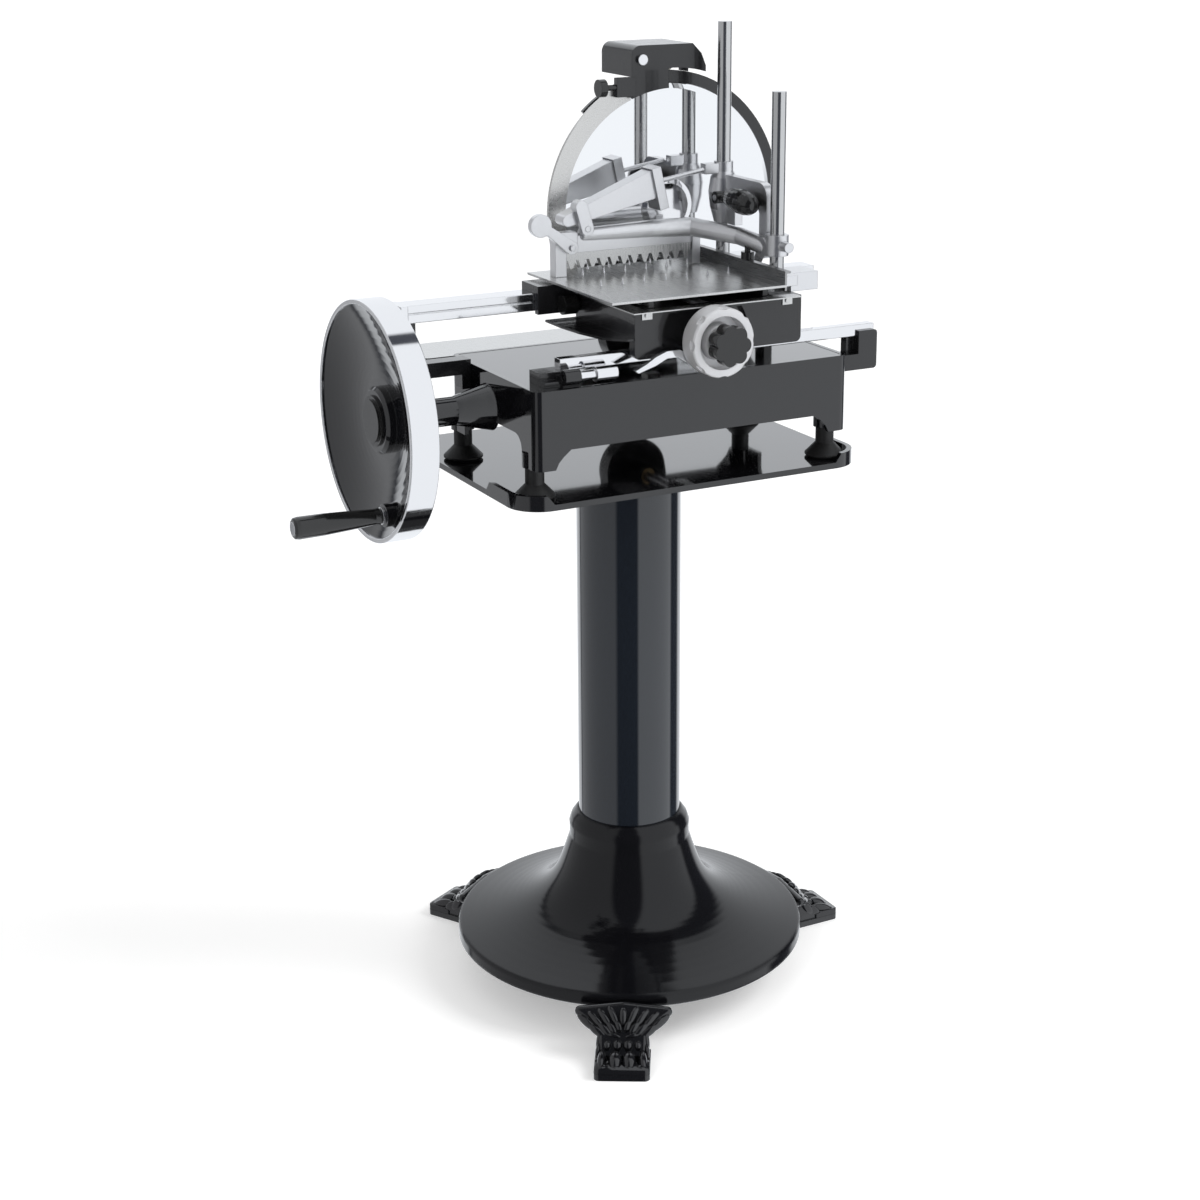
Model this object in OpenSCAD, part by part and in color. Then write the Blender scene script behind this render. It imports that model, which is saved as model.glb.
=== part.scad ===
// Hand crank meat slicer on a cast pedestal, drawn from the floor up.
// X runs along the carriage rail with the flywheel at -X, -Y is the operator's side, Z is up.
// Every place is measured from the column's axis and then moved so that the origin is the
// middle of the outline on the floor.

/* [Pedestal] */
// Height of the stand's table plate above the floor
tray_top = 786; // [760:1:820]
// Length of the stand's table plate
tray_len = 518; // [510:1:560]
// Depth of the stand's table plate
tray_dep = 400; // [390:1:430]
// Thickness of the stand's table plate
tray_t = 8; // [6:0.5:12]
// Outside diameter of the column
column_d = 146.8; // [130:0.2:150]
// Wall of the column
column_wall = 3.5; // [2.5:0.25:6]
// Diameter of the dished foot over its rim
dish_d = 504; // [490:1:520]
// Reach of each paw from the column's axis
paw_reach = 345; // [338:1:360]
// Width of each paw across its toes
paw_w = 76; // [70:1:86]

/* [Machine base] */
// Height of the machine's rubber feet
foot_h = 42; // [36:1:50]
// Length of the base casting
base_len = 470; // [464:1:480]
// Depth of the base casting
base_dep = 262; // [258:1:268]
// Height of the base casting
base_h = 104; // [102:1:108]
// Wall of the base casting
base_wall = 6; // [5:0.5:7]
// Length of the carriage rail
rail_len = 635; // [625:1:650]

/* [Flywheel] */
// Diameter of the flywheel over its rim
wheel_d = 314; // [300:1:330]
// Width of the flywheel's rim
rim_w = 38; // [34:1:42]
// Distance of the handle from the flywheel's axis
handle_r = 124; // [100:1:130]
// Length of the turning grip
grip_len = 117; // [100:1:130]
// Diameter of the flywheel shaft
shaft_d = 18; // [14:0.5:19]

/* [Blade] */
// Diameter of the blade
blade_d = 341; // [334:1:344]
// Thickness of the blade at its hub
blade_t = 4; // [3:0.25:4.5]
// Outside diameter of the ring guard
guard_d = 376; // [372:1:380]

/* [Carriage] */
// Length of the table plate along the rail
table_len = 261; // [255:1:263]
// Depth of the table plate
table_dep = 248; // [240:1:250]
// Length of the carriage body at its front
body_len = 252; // [246:1:256]
// Diameter of the thickness dial
dial_d = 92; // [84:1:94]

/* [Meat clamp] */
// Height of the tall guide post over the table
tall_post_h = 328; // [300:1:360]
// Height of the short guide post over the table
short_post_h = 246; // [240:1:300]
// Diameter of both guide posts
post_d = 19.5; // [17:0.5:20]

/* [Hidden] */
$fn = 64;

// Overrun of every cut past the face it leaves
over = 1;
// Running clearance of shafts, posts and slides in their bores
run_gap = 0.06;
// Gap between pieces that lie loosely side by side
seat_gap = 0.3;
// Small rounding of bright bars and plates
soft_edge = 0.8;

// Levels and stations that the whole machine hangs on
base_z = tray_top + foot_h;
deck_z = base_z + base_h;
base_left = -234;
base_front = -190;
base_right = base_left + base_len;
base_back = base_front + base_dep;
shaft_y = -45;
shaft_drop = 48;
shaft_z = deck_z - shaft_drop;
shaft_r = shaft_d / 2;
cross_drop = 38;
cross_z = shaft_z - cross_drop;
blade_x = 102.5;
blade_rise = 175.5;
blade_z = deck_z + blade_rise;
blade_gap = 5;
blade_y = base_back + blade_gap;

// Spur gears from the cross shaft up to the blade
spur_m = 2.5;
first_n = 28;
lower_n = 41;
upper_n = 43;
pinion_n = 16;
spur_w = 12;
spur_slack = 0.25;
pressure_angle = 20;
train = spur_m * (first_n + 2 * lower_n + 2 * upper_n + pinion_n) / 2;
train_lean = acos((blade_z - cross_z) / train);
cross_x = blade_x - train * sin(train_lean);
lower_along = spur_m * (first_n + lower_n) / 2;
upper_along = lower_along + spur_m * (lower_n + upper_n) / 2;
lower_at = [cross_x + lower_along * sin(train_lean), cross_z + lower_along * cos(train_lean)];
upper_at = [cross_x + upper_along * sin(train_lean), cross_z + upper_along * cos(train_lean)];
mesh_dir = 90 - train_lean;

// Bevel gears, all alike: teeth, module, length and slack
bevel_n = 16;
bevel_m = 2;
bevel_face = 7;
bevel_slack = 0.6;
bevel_r = bevel_m * bevel_n / 2;
bevel_core_r = 11;
bevel_core_l = 12;

// Crank, rocker and fork that move the carriage
crank_throw = 57.8;
crank_pin_r = 6;
crank_pin_h = 2.4;
rocker_reach = 222;
rocker_pivot_y = 52;
rocker_rest_share = 0.214;
rocker_rest = asin(rocker_rest_share);
crank_arm = rocker_pivot_y - shaft_y;
crank_along = crank_arm * cos(rocker_rest) + sqrt(pow(crank_throw, 2)
  - pow(crank_arm * sin(rocker_rest), 2));
crank_pin_at = [cross_x + crank_along * sin(rocker_rest),
  rocker_pivot_y - crank_along * cos(rocker_rest)];
fork_at = [cross_x + rocker_reach * sin(rocker_rest),
  rocker_pivot_y - rocker_reach * cos(rocker_rest)];

// Deck of the base and what turns under it, counted down from its top face
deck_t = 6;
plate_t = 2.5;
plate_inset = 7;
deck_low = deck_z - plate_t - seat_gap - deck_t;
deck_seat = deck_low + deck_t;
plate_top = deck_seat + plate_t;
fork_t = 4;
lever_t = 6;
crank_t = 6;
level_gap = 0.6;
fork_top = deck_low - level_gap;
lever_top = fork_top - fork_t - level_gap;
pin_top = lever_top - lever_t - level_gap;
crank_top = pin_top - crank_pin_h;

// Rail and carriage levels above the deck
table_rise = 102;
table_z = deck_z + table_rise;
table_t = 3;
table_left = -119;
table_back = 68;
table_right = table_left + table_len;
table_front = table_back - table_dep;
rail_drop = 15.5;
rail_top = table_z - rail_drop;
rail_h = 23.5;
rail_w = 34;
rail_left = -335;
body_left = -84;
body_front = -175;
body_right = body_left + body_len;
body_drop = 16;
body_top = table_z - body_drop;
apron_h = 63;
wall_h = 35;
apron_z = body_top - apron_h;
wall_z = body_top - wall_h;
post_x = 166;
tall_y = 28;
short_y = -115;
post_r = post_d / 2;
arm_y = 20;

// Travels, used by what has to stay clear of them
slide_left = 180;
slide_right = 85;

// Flywheel's front face and the middle of the whole outline along X
wheel_front = -408;
grip_gap = 4;
spindle_show = 0.7;
grip_end = grip_len + spindle_show + grip_gap + seat_gap - wheel_front;
origin_x = (grip_end - paw_reach) / 2;

function mid(p) = (p[0] + p[1]) / 2;
function turned(p, a) = [p[0] * cos(a) - p[1] * sin(a), p[0] * sin(a) + p[1] * cos(a)];
function involute_deg(base, r) = r <= base ? 0 : sqrt(pow(r / base, 2) - 1) * 180 / PI
  - acos(base / r);

// One tooth as points about angle zero, from its root up the flank, over the tip and down
function tooth(n, m, slack) =
  let (pitch = m * n / 2, base = pitch * cos(pressure_angle), root = pitch - 1.2 * m,
    tip = pitch + 0.9 * m, half = 90 / n - slack / pitch * 90 / PI,
    radii = [root, max(base, root), (max(base, root) + tip) / 2, tip],
    half_at = [for (r = radii) half + involute_deg(base, pitch) - involute_deg(base, r)])
  concat([for (i = [0 : 3]) turned([radii[i], 0], -half_at[i])],
    [for (i = [3 : -1 : 0]) turned([radii[i], 0], half_at[i])]);

module placed() {
  translate([origin_x, 0, 0]) children();
}

module box(x, y, z) {
  translate([x[0], y[0], z[0]]) cube([x[1] - x[0], y[1] - y[0], z[1] - z[0]]);
}

module rod_x(r, x, y, z) {
  translate([x[0], y, z]) rotate([0, 90, 0]) cylinder(r = r, h = x[1] - x[0]);
}

module rod_y(r, y, x, z) {
  translate([x, y[0], z]) rotate([-90, 0, 0]) cylinder(r = r, h = y[1] - y[0]);
}

module rod_z(r, z, x = 0, y = 0) {
  translate([x, y, z[0]]) cylinder(r = r, h = z[1] - z[0]);
}

// Flat outline with four equal round corners
module rounded(x, y, r) {
  translate([x[0] + r, y[0]]) square([x[1] - x[0] - 2 * r, y[1] - y[0]]);
  translate([x[0], y[0] + r]) square([x[1] - x[0], y[1] - y[0] - 2 * r]);
  for (px = [x[0] + r, x[1] - r], py = [y[0] + r, y[1] - r])
    translate([px, py]) circle(r = r);
}

// Upright slab with round corners
module slab(x, y, z, r) {
  translate([0, 0, z[0]]) linear_extrude(z[1] - z[0]) rounded(x, y, r);
}

// What it is given in X and Z, made thick in Y
module face_y(y) {
  translate([0, y[1], 0]) rotate([90, 0, 0]) linear_extrude(y[1] - y[0]) children();
}

// What it is given in Y and Z, made thick in X
module face_x(x) {
  translate([x[0], 0, 0]) rotate([90, 0, 90]) linear_extrude(x[1] - x[0]) children();
}

// Lathed shapes about a shaft along X or Y, their outlines in radius and distance
module lathe_x(x, y, z) {
  translate([x, y, z]) rotate([0, 90, 0]) rotate_extrude($fn = 96) children();
}

module lathe_y(y, x, z) {
  translate([x, y, z]) rotate([-90, 0, 0]) rotate_extrude($fn = 96) children();
}

module gear_outline(n, m, slack) {
  polygon([for (i = [0 : n - 1]) for (p = tooth(n, m, slack)) turned(p, i * 360 / n)]);
}

lightening_n = 6;
lightening_at_share = 0.31;
lightening_r_share = 0.07;

// Spur gear about a shaft along Y, with one tooth pointing along an angle in X and Z
module spur(n, at, phase, bore_r) {
  translate([at[0], 0, at[1]]) face_y([spur_y, spur_y + spur_w]) difference() {
    rotate(phase) gear_outline(n, spur_m, spur_slack);
    circle(r = bore_r);
    if (n > first_n) for (i = [0 : lightening_n - 1]) rotate(i * 360 / lightening_n)
      translate([spur_m * n * lightening_at_share, 0]) circle(r = spur_m * n * lightening_r_share);
  }
}

// Bevel gear with its large end down at zero and its cone upwards
module bevel(phase) {
  rotate(phase) linear_extrude(bevel_face, scale = (bevel_r - bevel_face) / bevel_r)
    gear_outline(bevel_n, bevel_m, bevel_slack);
}

// PEDESTAL
// Dished foot: shallow at the rim, then a trumpet up to the collar round the column
rim_low = 58;
rim_bead = 2;
rim_top = 78;
trumpet_top = 208;
trumpet_r = 87;
trumpet_flare = 42;
trumpet_power = 4.6;
trumpet_steps = 28;
dish_wall = 8;
seat_z = 238;
seat_t = 10;
collar_out = 14;
collar_z = 228;
collar_h = 18;
column_r = column_d / 2;
dish_r = dish_d / 2;
tie_r = 8;
paw_angles = [0, 120, 240];
paw_pad_r = 24;
paw_pad_at = 212;
paw_top = 54;
stand_screw_r = 4;
stand_screw_l = 12;

function trumpet(t) = [trumpet_r + trumpet_flare * (1 - t)
    + (dish_r - rim_bead - trumpet_r - trumpet_flare) * pow(1 - t, trumpet_power),
  rim_top + (trumpet_top - rim_top) * t];

module pedestal_base() {
  up = [for (i = [0 : trumpet_steps]) trumpet(i / trumpet_steps)];
  down = [for (i = [trumpet_steps : -1 : 0]) trumpet(i / trumpet_steps)
    - [dish_wall, i == 0 ? dish_wall : dish_wall / 2]];
  color([0.02, 0.02, 0.02]) placed() difference() {
    union() {
      rotate_extrude($fn = 128) polygon(concat(
        [[dish_r - rim_bead - dish_wall, rim_low], [dish_r - rim_bead, rim_low],
          [dish_r, rim_low + rim_bead], [dish_r, rim_top - 2 * rim_bead]],
        up,
        [[trumpet_r, collar_z - collar_h / 2], [column_r + collar_out, collar_z],
          [column_r + collar_out * 0.78, collar_z + collar_h / 2],
          [column_r + collar_out * 0.4, collar_z + collar_h * 0.9],
          [column_r + rim_bead, seat_z + seat_t], [column_r + run_gap, seat_z + seat_t],
          [column_r + run_gap, seat_z], [tie_r + run_gap, seat_z],
          [tie_r + run_gap, seat_z - seat_t], [trumpet_r - dish_wall, seat_z - seat_t]],
        down));
      for (a = paw_angles) rotate(a) rod_z(paw_pad_r, [paw_top, rim_top], paw_pad_at, 0);
    }
    for (a = paw_angles) rotate(a)
      rod_z(stand_screw_r, [paw_top - over, paw_top + stand_screw_l], paw_pad_at, 0);
  }
}

// Paw pointing along +X: sole, toes, ankle and the leaf that spreads under the rim
paw_sole_h = 9;
paw_corner = 8;
paw_heel = 74;
toe_r = 10;
toe_n = 4;
toe_len = 34;
toe_step = 1.2;
ankle_w = 58;
ankle_h = 36;
ankle_d = 34;
leaf_w = 136;
leaf_out = 8;
leaf_t = 14;

module ankle(inset) {
  translate([paw_reach - paw_heel, 0, ankle_h]) rotate([90, 0, 0])
    cylinder(r = ankle_d / 2 - inset, h = ankle_w - 2 * inset, center = true, $fn = 24);
}

module paw() {
  slab([paw_reach - paw_heel, paw_reach], [-paw_w / 2, paw_w / 2], [0, paw_sole_h], paw_corner);
  for (i = [0 : toe_n - 1]) translate([paw_reach - toe_r - toe_step,
    (i - (toe_n - 1) / 2) * (paw_w - 2 * toe_r - 2 * toe_step) / (toe_n - 1), paw_sole_h]) {
    sphere(r = toe_r);
    rotate([0, -90, 0]) cylinder(r = toe_r - toe_step, h = toe_len);
  }
  hull() {
    slab([paw_reach - paw_heel + 2 * toe_step, paw_reach - toe_len],
      [2 * toe_step - paw_w / 2, paw_w / 2 - 2 * toe_step],
      [paw_sole_h / 2, paw_sole_h + toe_r], paw_corner, $fn = 16);
    ankle(0);
  }
  hull() {
    ankle(toe_step);
    for (s = [-1, 1]) translate([dish_r + leaf_out, s * (leaf_w / 2 - leaf_out), rim_low])
      sphere(r = leaf_t / 2, $fn = 24);
    translate([dish_r + leaf_out, 0, rim_low + leaf_t / 2]) sphere(r = leaf_t / 2, $fn = 24);
  }
}

module paw_feet() {
  color([0.02, 0.02, 0.02]) placed() for (a = paw_angles) rotate(a) difference() {
    union() {
      paw();
      box([paw_pad_at - paw_pad_r, paw_reach - paw_heel], [ankle_w / 4 - ankle_w / 2 - toe_step,
        ankle_w / 4 + toe_step], [paw_top - leaf_t, paw_top]);
    }
    rod_z(stand_screw_r + run_gap, [0, paw_top + over], paw_pad_at, 0);
  }
}

// Column, its top flange and the rod that ties the stand together
flange_t = 10;
flange_low = tray_top - tray_t - flange_t;
flange_r = 104;
spigot_l = 30;
cup_r = 26;
cup_floor = 10;
flange_screw_at = 88;
nut_r = 14;
nut_h = 12;
tie_end = 4;

module column_tube() {
  color([0.03, 0.04, 0.05]) placed() difference() {
    rod_z(column_r, [seat_z, flange_low], $fn = 128);
    rod_z(column_r - column_wall, [seat_z - over, flange_low + over], $fn = 128);
  }
}

module top_flange() {
  color([0.03, 0.03, 0.03]) placed() difference() {
    union() {
      rod_z(flange_r, [flange_low, flange_low + flange_t]);
      rod_z(column_r - column_wall - seat_gap, [flange_low - spigot_l, flange_low + over]);
    }
    rod_z(tie_r + run_gap, [flange_low - spigot_l - over, flange_low]);
    rod_z(cup_r, [flange_low - spigot_l + cup_floor, flange_low + flange_t + over]);
    for (a = [45 : 90 : 315]) rotate(a)
      rod_z(stand_screw_r + run_gap, [flange_low - over, flange_low + flange_t + over],
        flange_screw_at, 0);
  }
}

module tie_rod() {
  cup = flange_low - spigot_l + cup_floor;
  color([0.7, 0.7, 0.72]) placed() {
    rod_z(tie_r, [seat_z - seat_t - nut_h - tie_end, cup + nut_h + tie_end]);
    rod_z(nut_r, [seat_z - seat_t - nut_h, seat_z - seat_t], $fn = 6);
    rod_z(nut_r, [cup, cup + nut_h], $fn = 6);
  }
}

// Table plate of the stand, with a raised lip round each corner that ramps down at its ends
tray_corner = 45;
lip_h = 12;
lip_t = 7;
lip_front = 36;
lip_side = 99;
lip_ramp = 11;

module lip_keep(reach) {
  polygon([[0, -over], [reach + lip_ramp, -over], [reach, lip_h + over], [0, lip_h + over]]);
}

module tray() {
  xs = [-tray_len / 2, tray_len / 2];
  ys = [-tray_dep / 2, tray_dep / 2];
  color([0.02, 0.02, 0.02]) placed() difference() {
    union() {
      slab(xs, ys, [tray_top - tray_t, tray_top], tray_corner);
      intersection() {
        difference() {
          slab(xs, ys, [tray_top - over, tray_top + lip_h], tray_corner);
          slab([xs[0] + lip_t, xs[1] - lip_t], [ys[0] + lip_t, ys[1] - lip_t],
            [tray_top - 2 * over, tray_top + lip_h + over], tray_corner - lip_t);
        }
        for (sx = [0, 1], sy = [0, 1]) mirror([sx, 0, 0]) mirror([0, sy, 0]) intersection() {
          translate([xs[0], 0, tray_top]) face_y([ys[0], 0]) lip_keep(lip_front);
          translate([0, ys[0], tray_top]) face_x([xs[0], 0]) lip_keep(lip_side);
        }
      }
    }
    for (a = [45 : 90 : 315]) rotate(a)
      rod_z(stand_screw_r, [tray_top - tray_t - over, tray_top - tray_t / 4], flange_screw_at, 0);
  }
}

screw_head_r = 7;
screw_head_h = 6;

module stand_screws() {
  color([0.75, 0.75, 0.76]) placed() {
    for (a = paw_angles) rotate(a) {
      rod_z(stand_screw_r - run_gap, [paw_top - leaf_t, paw_top + stand_screw_l - over],
        paw_pad_at, 0);
      rod_z(screw_head_r, [paw_top - leaf_t - screw_head_h, paw_top - leaf_t], paw_pad_at, 0);
    }
    for (a = [45 : 90 : 315]) rotate(a) {
      rod_z(stand_screw_r - run_gap, [flange_low, tray_top - tray_t / 2], flange_screw_at, 0);
      rod_z(screw_head_r, [flange_low - screw_head_h, flange_low], flange_screw_at, 0);
    }
  }
}

// MACHINE BASE
foot_x = 221;
foot_front_y = -158;
foot_back_y = 66;
foot_r = 27;
foot_stem_r = 12.5;
foot_edge = 5;
foot_flare = 20;
foot_bulge = 3;
foot_waist_shares = [0.4, 0.45];
ear_r = 16;
ear_h = 20;

module rubber_feet() {
  color([0.05, 0.05, 0.05]) placed()
    for (x = [-foot_x, foot_x], y = [foot_front_y, foot_back_y]) translate([x, y, tray_top])
      rotate_extrude($fn = 48) polygon([[0, 0], [foot_r - foot_bulge, 0],
        [foot_r, foot_bulge], [foot_r, foot_edge],
        [foot_stem_r + (foot_r - foot_stem_r) * foot_waist_shares[0],
          foot_edge + foot_flare * foot_waist_shares[1]],
        [foot_stem_r, foot_flare], [foot_stem_r, foot_h], [0, foot_h]]);
}

base_corner = 13;
arch_h = 25;
arch_left = -206;
arch_right = 206;
arch_foot = 22;
arch_knee = 9;
end_arch = [-148, 30];
end_arch_h = 40;
slot_half = 7;
slot_y = -65;
fork_neck = 10;
neck_big_r = 32;
neck_small_r = 19;
neck_cone_l = 49;
neck_end = -350;
bush_r = 13;
bush_l = 26;
crank_shaft_r = 7;
crank_foot_h = 6.5;
crank_foot_r = 9.5;
crank_foot_drop = 17.5;
rib_t = 14;
rib_rise = 11;
// Rib outline: share of the way from the front wall to the crank shaft, and of its height
rib_shares = [[0, 1], [0, 0.43], [0.577, 0.43], [0.789, 0], [1, 0], [1, 0.098],
  [0.852, 0.098], [0.725, 0.624], [0.725, 1]];
web_x = [14, 26];
web_half = 13;
cross_r = 7;
cross_bush_r = 11.5;
cross_boss_r = 17;
cross_boss_l = 14;
rocker_pin_r = 6;
rocker_boss_r = 12;
slot_x = [fork_at[0] - slide_left - fork_neck, fork_at[0] + slide_right + fork_neck];
crank_foot_z = cross_z - crank_foot_drop;

// Arch cut under the front and back walls, its feet flared outwards
module arch_outline() {
  polygon([[arch_left, -over], [arch_left, 0], [arch_left + arch_foot / 5, arch_knee],
    [arch_left + arch_foot / 2, arch_h - arch_knee], [arch_left + arch_foot, arch_h],
    [arch_right - arch_foot, arch_h], [arch_right - arch_foot / 2, arch_h - arch_knee],
    [arch_right - arch_foot / 5, arch_knee], [arch_right, 0], [arch_right, -over]]);
}

module base_casting() {
  xs = [base_left, base_right];
  ys = [base_front, base_back];
  w = base_wall;
  rib_from = base_front + w / 2;
  color([0.02, 0.02, 0.02]) placed() difference() {
    union() {
      difference() {
        slab(xs, ys, [base_z, deck_z], base_corner);
        slab([xs[0] + w, xs[1] - w], [ys[0] + w, ys[1] - w], [base_z - over, deck_low],
          base_corner - w);
        slab([xs[0] + plate_inset, xs[1] - plate_inset],
          [ys[0] + plate_inset, ys[1] - plate_inset], [deck_seat, deck_z + over],
          base_corner - w);
        translate([0, 0, base_z]) face_y([ys[0] - over, ys[1] + over]) arch_outline();
        face_x([xs[0] - over, xs[1] + over])
          rounded(end_arch, [base_z - end_arch_h, base_z + end_arch_h], end_arch_h / 2);
      }
      for (x = [-foot_x, foot_x], y = [foot_front_y, foot_back_y])
        rod_z(ear_r, [base_z, base_z + ear_h], x, y);
      translate([base_left + w / 2, shaft_y, shaft_z]) rotate([0, -90, 0])
        cylinder(r1 = neck_big_r, r2 = neck_small_r, h = neck_cone_l + w / 2);
      rod_x(neck_small_r, [neck_end, base_left - neck_cone_l + over], shaft_y, shaft_z);
      box(web_x, [shaft_y - web_half, base_back - w / 2],
        [shaft_z - web_half, shaft_z + web_half - level_gap]);
      face_x([cross_x - rib_t / 2, cross_x + rib_t / 2]) polygon([for (s = rib_shares)
        [rib_from + (shaft_y - rib_from) * s[0],
          crank_foot_z + (shaft_z + rib_rise - crank_foot_z) * s[1]]]);
      rod_z(crank_foot_r, [crank_foot_z, crank_foot_z + crank_foot_h], cross_x, shaft_y);
      rod_y(cross_boss_r, [base_back - w - cross_boss_l, base_back - w / 2], cross_x, cross_z);
      rod_z(rocker_pin_r, [lever_top - lever_t - level_gap, deck_low + over], cross_x,
        rocker_pivot_y);
      rod_z(rocker_boss_r, [lever_top + level_gap, deck_low + over], cross_x, rocker_pivot_y);
    }
    rod_x(bush_r, [neck_end - over, base_left + w + over], shaft_y, shaft_z);
    rod_x(shaft_r + run_gap, [web_x[0] - over, web_x[1] + over], shaft_y, shaft_z);
    rod_y(cross_bush_r, [base_back - w - cross_boss_l - over, base_back + over],
      cross_x, cross_z);
    rod_z(crank_shaft_r + run_gap, [crank_foot_z - over, crank_foot_z + crank_foot_h + over],
      cross_x, shaft_y);
    box(slot_x, [slot_y - slot_half, slot_y + slot_half], [deck_low - over, deck_z]);
  }
}

module base_top_plate() {
  i = plate_inset + seat_gap;
  color([0.75, 0.76, 0.78]) placed() difference() {
    slab([base_left + i, base_right - i], [base_front + i, base_back - i],
      [deck_seat, plate_top], base_corner - base_wall);
    box(slot_x, [slot_y - slot_half, slot_y + slot_half], [deck_low, deck_z + over]);
  }
}

// Slices slide down onto this plate behind the blade
receive_left = -280;
receive_dep = 92;
receive_drop = 3;
receive_r = 20;

module receiving_plate() {
  top = deck_z - receive_drop;
  color([0.8, 0.81, 0.82]) placed() difference() {
    slab([receive_left, base_right], [base_back, base_back + receive_dep], [top - plate_t, top],
      receive_r);
    box([cross_x - case_reach, lower_at[0] + case_reach],
      [base_back - over, case_back + cover_t + cover_boss_l + seat_gap],
      [top - plate_t - over, top + over]);
  }
}

// Bushes of the flywheel shaft and cross shaft, and the bush of the blade shaft
module bush_y(r_out, r_in, y, x, z) {
  difference() {
    rod_y(r_out, y, x, z);
    rod_y(r_in, [y[0] - over, y[1] + over], x, z);
  }
}

module bearings() {
  color([0.72, 0.6, 0.3]) placed() {
    for (x = [neck_end, base_left + base_wall - bush_l]) difference() {
      rod_x(bush_r - run_gap, [x, x + bush_l], shaft_y, shaft_z);
      rod_x(shaft_r + run_gap, [x - over, x + bush_l + over], shaft_y, shaft_z);
    }
    bush_y(cross_bush_r - run_gap, cross_r + run_gap,
      [base_back - base_wall - cross_boss_l, base_back], cross_x, cross_z);
    bush_y(blade_bush_r - run_gap, blade_shaft_r + run_gap,
      [case_front - blade_boss_l, case_front + case_wall], blade_x, blade_z);
  }
}

// GEAR CASE
case_gap = 10;
case_front = blade_y + case_gap;
case_wall = 5;
case_clear = 4.5;
gear_gap = 2;
spur_y = case_front + case_wall + gear_gap;
case_back = spur_y + spur_w + gear_gap;
cover_t = 5;
cover_boss_r = 15;
cover_boss_l = 4;
case_reach = spur_m * (upper_n / 2 + 1) + case_clear + case_wall + gear_gap;
blade_shaft_r = 10;
blade_bush_r = 16;
blade_boss_l = 2;
blade_end_r = 22;
idler_pin_r = 8;
case_foot_at = 26;
case_foot_w = 14;
case_foot_z = [6, 46];

// Outline round all four gears, grown by a margin past the teeth's pitch circles
module case_outline(margin) {
  translate([cross_x, cross_z]) circle(r = spur_m * first_n / 2 + margin);
  translate(lower_at) circle(r = spur_m * lower_n / 2 + margin);
  translate(upper_at) circle(r = spur_m * upper_n / 2 + margin);
  translate([blade_x, blade_z]) circle(r = blade_end_r + margin);
  translate([cross_x, cross_z]) rotate(mesh_dir) {
    translate([0, -spur_m * first_n / 2 - margin])
      square([upper_along, spur_m * first_n + 2 * margin]);
    translate([0, -blade_end_r - margin]) square([train, 2 * (blade_end_r + margin)]);
  }
}

module gear_case() {
  inner = spur_m + case_clear;
  outer = inner + case_wall;
  color([0.03, 0.03, 0.03]) placed() difference() {
    union() {
      face_y([case_front, case_back]) case_outline(outer);
      rod_y(cross_boss_r, [base_back, case_front + over], cross_x, cross_z);
      for (s = [-1, 1]) box([cross_x + s * case_foot_at - case_foot_w / 2,
        cross_x + s * case_foot_at + case_foot_w / 2], [base_back, case_front + over],
        [cross_z + case_foot_z[0], cross_z + case_foot_z[1]]);
      rod_y(blade_bush_r + case_wall, [case_front - blade_boss_l, case_front + over],
        blade_x, blade_z);
    }
    difference() {
      face_y([case_front + case_wall, case_back + over]) case_outline(inner);
      for (p = [lower_at, upper_at])
        rod_y(idler_pin_r, [case_front, case_back + over], p[0], p[1]);
    }
    rod_y(cross_r + run_gap, [base_back - over, case_back], cross_x, cross_z);
    rod_y(blade_bush_r, [case_front - blade_boss_l - over, case_back], blade_x, blade_z);
  }
}

module gear_case_cover() {
  color([0.03, 0.03, 0.03]) placed() {
    face_y([case_back, case_back + cover_t]) case_outline(spur_m + case_clear + case_wall);
    for (p = [lower_at, upper_at, [blade_x, blade_z], [cross_x, cross_z]])
      rod_y(cover_boss_r, [case_back + cover_t, case_back + cover_t + cover_boss_l],
        p[0], p[1]);
  }
}

// RAIL AND GUIDES
rail_cap_h = 10.8;
rail_groove = 1.6;
bracket_y = [5, 29];
bracket_low = 14;
bracket_arm_h = 20;
bracket_t = 13;
rail_end_t = 10;
rail_end_out = 4;
right_bracket_x = [222, 235];

module carriage_rail() {
  right = rail_left + rail_len;
  color([0.85, 0.86, 0.87]) placed() {
    face_x([rail_left, right]) rounded([0, rail_w], [rail_top - rail_cap_h, rail_top], soft_edge);
    box([rail_left, right], [rail_groove, rail_w - rail_groove],
      [rail_top - rail_cap_h - rail_groove, rail_top - rail_cap_h]);
    box([rail_left, right], [0, rail_w],
      [rail_top - rail_h, rail_top - rail_cap_h - rail_groove]);
    face_x([rail_left, rail_left + rail_end_t]) rounded([-rail_end_out, rail_w + rail_end_out],
      [rail_top - rail_h - rail_end_out, rail_top], soft_edge);
  }
}

module rail_brackets() {
  foot_z = rail_top - rail_h;
  low = deck_z - bracket_low;
  left = rail_left + rail_end_t + seat_gap;
  color([0.03, 0.03, 0.03]) placed() {
    box([left, base_left], bracket_y, [low, low + bracket_arm_h]);
    box([left, left + bracket_t], bracket_y, [low, foot_z]);
    translate([left + bracket_t, 0, low + bracket_arm_h]) face_y(bracket_y) difference() {
      square(bracket_t);
      translate([bracket_t, bracket_t]) circle(r = bracket_t);
    }
    box([base_left - bracket_t, base_left], bracket_y, [low - bracket_arm_h, low + over]);
    box(right_bracket_x, bracket_y, [deck_z, foot_z]);
  }
}

bar_w = 16;
bar_x = [-183, 297];
bar_y = -150;
bar_rise = 32;
bar_top = deck_z + bar_rise;
bar_chamfer = 1.5;
bar_ys = [bar_y - bar_w / 2, bar_y + bar_w / 2];

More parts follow.
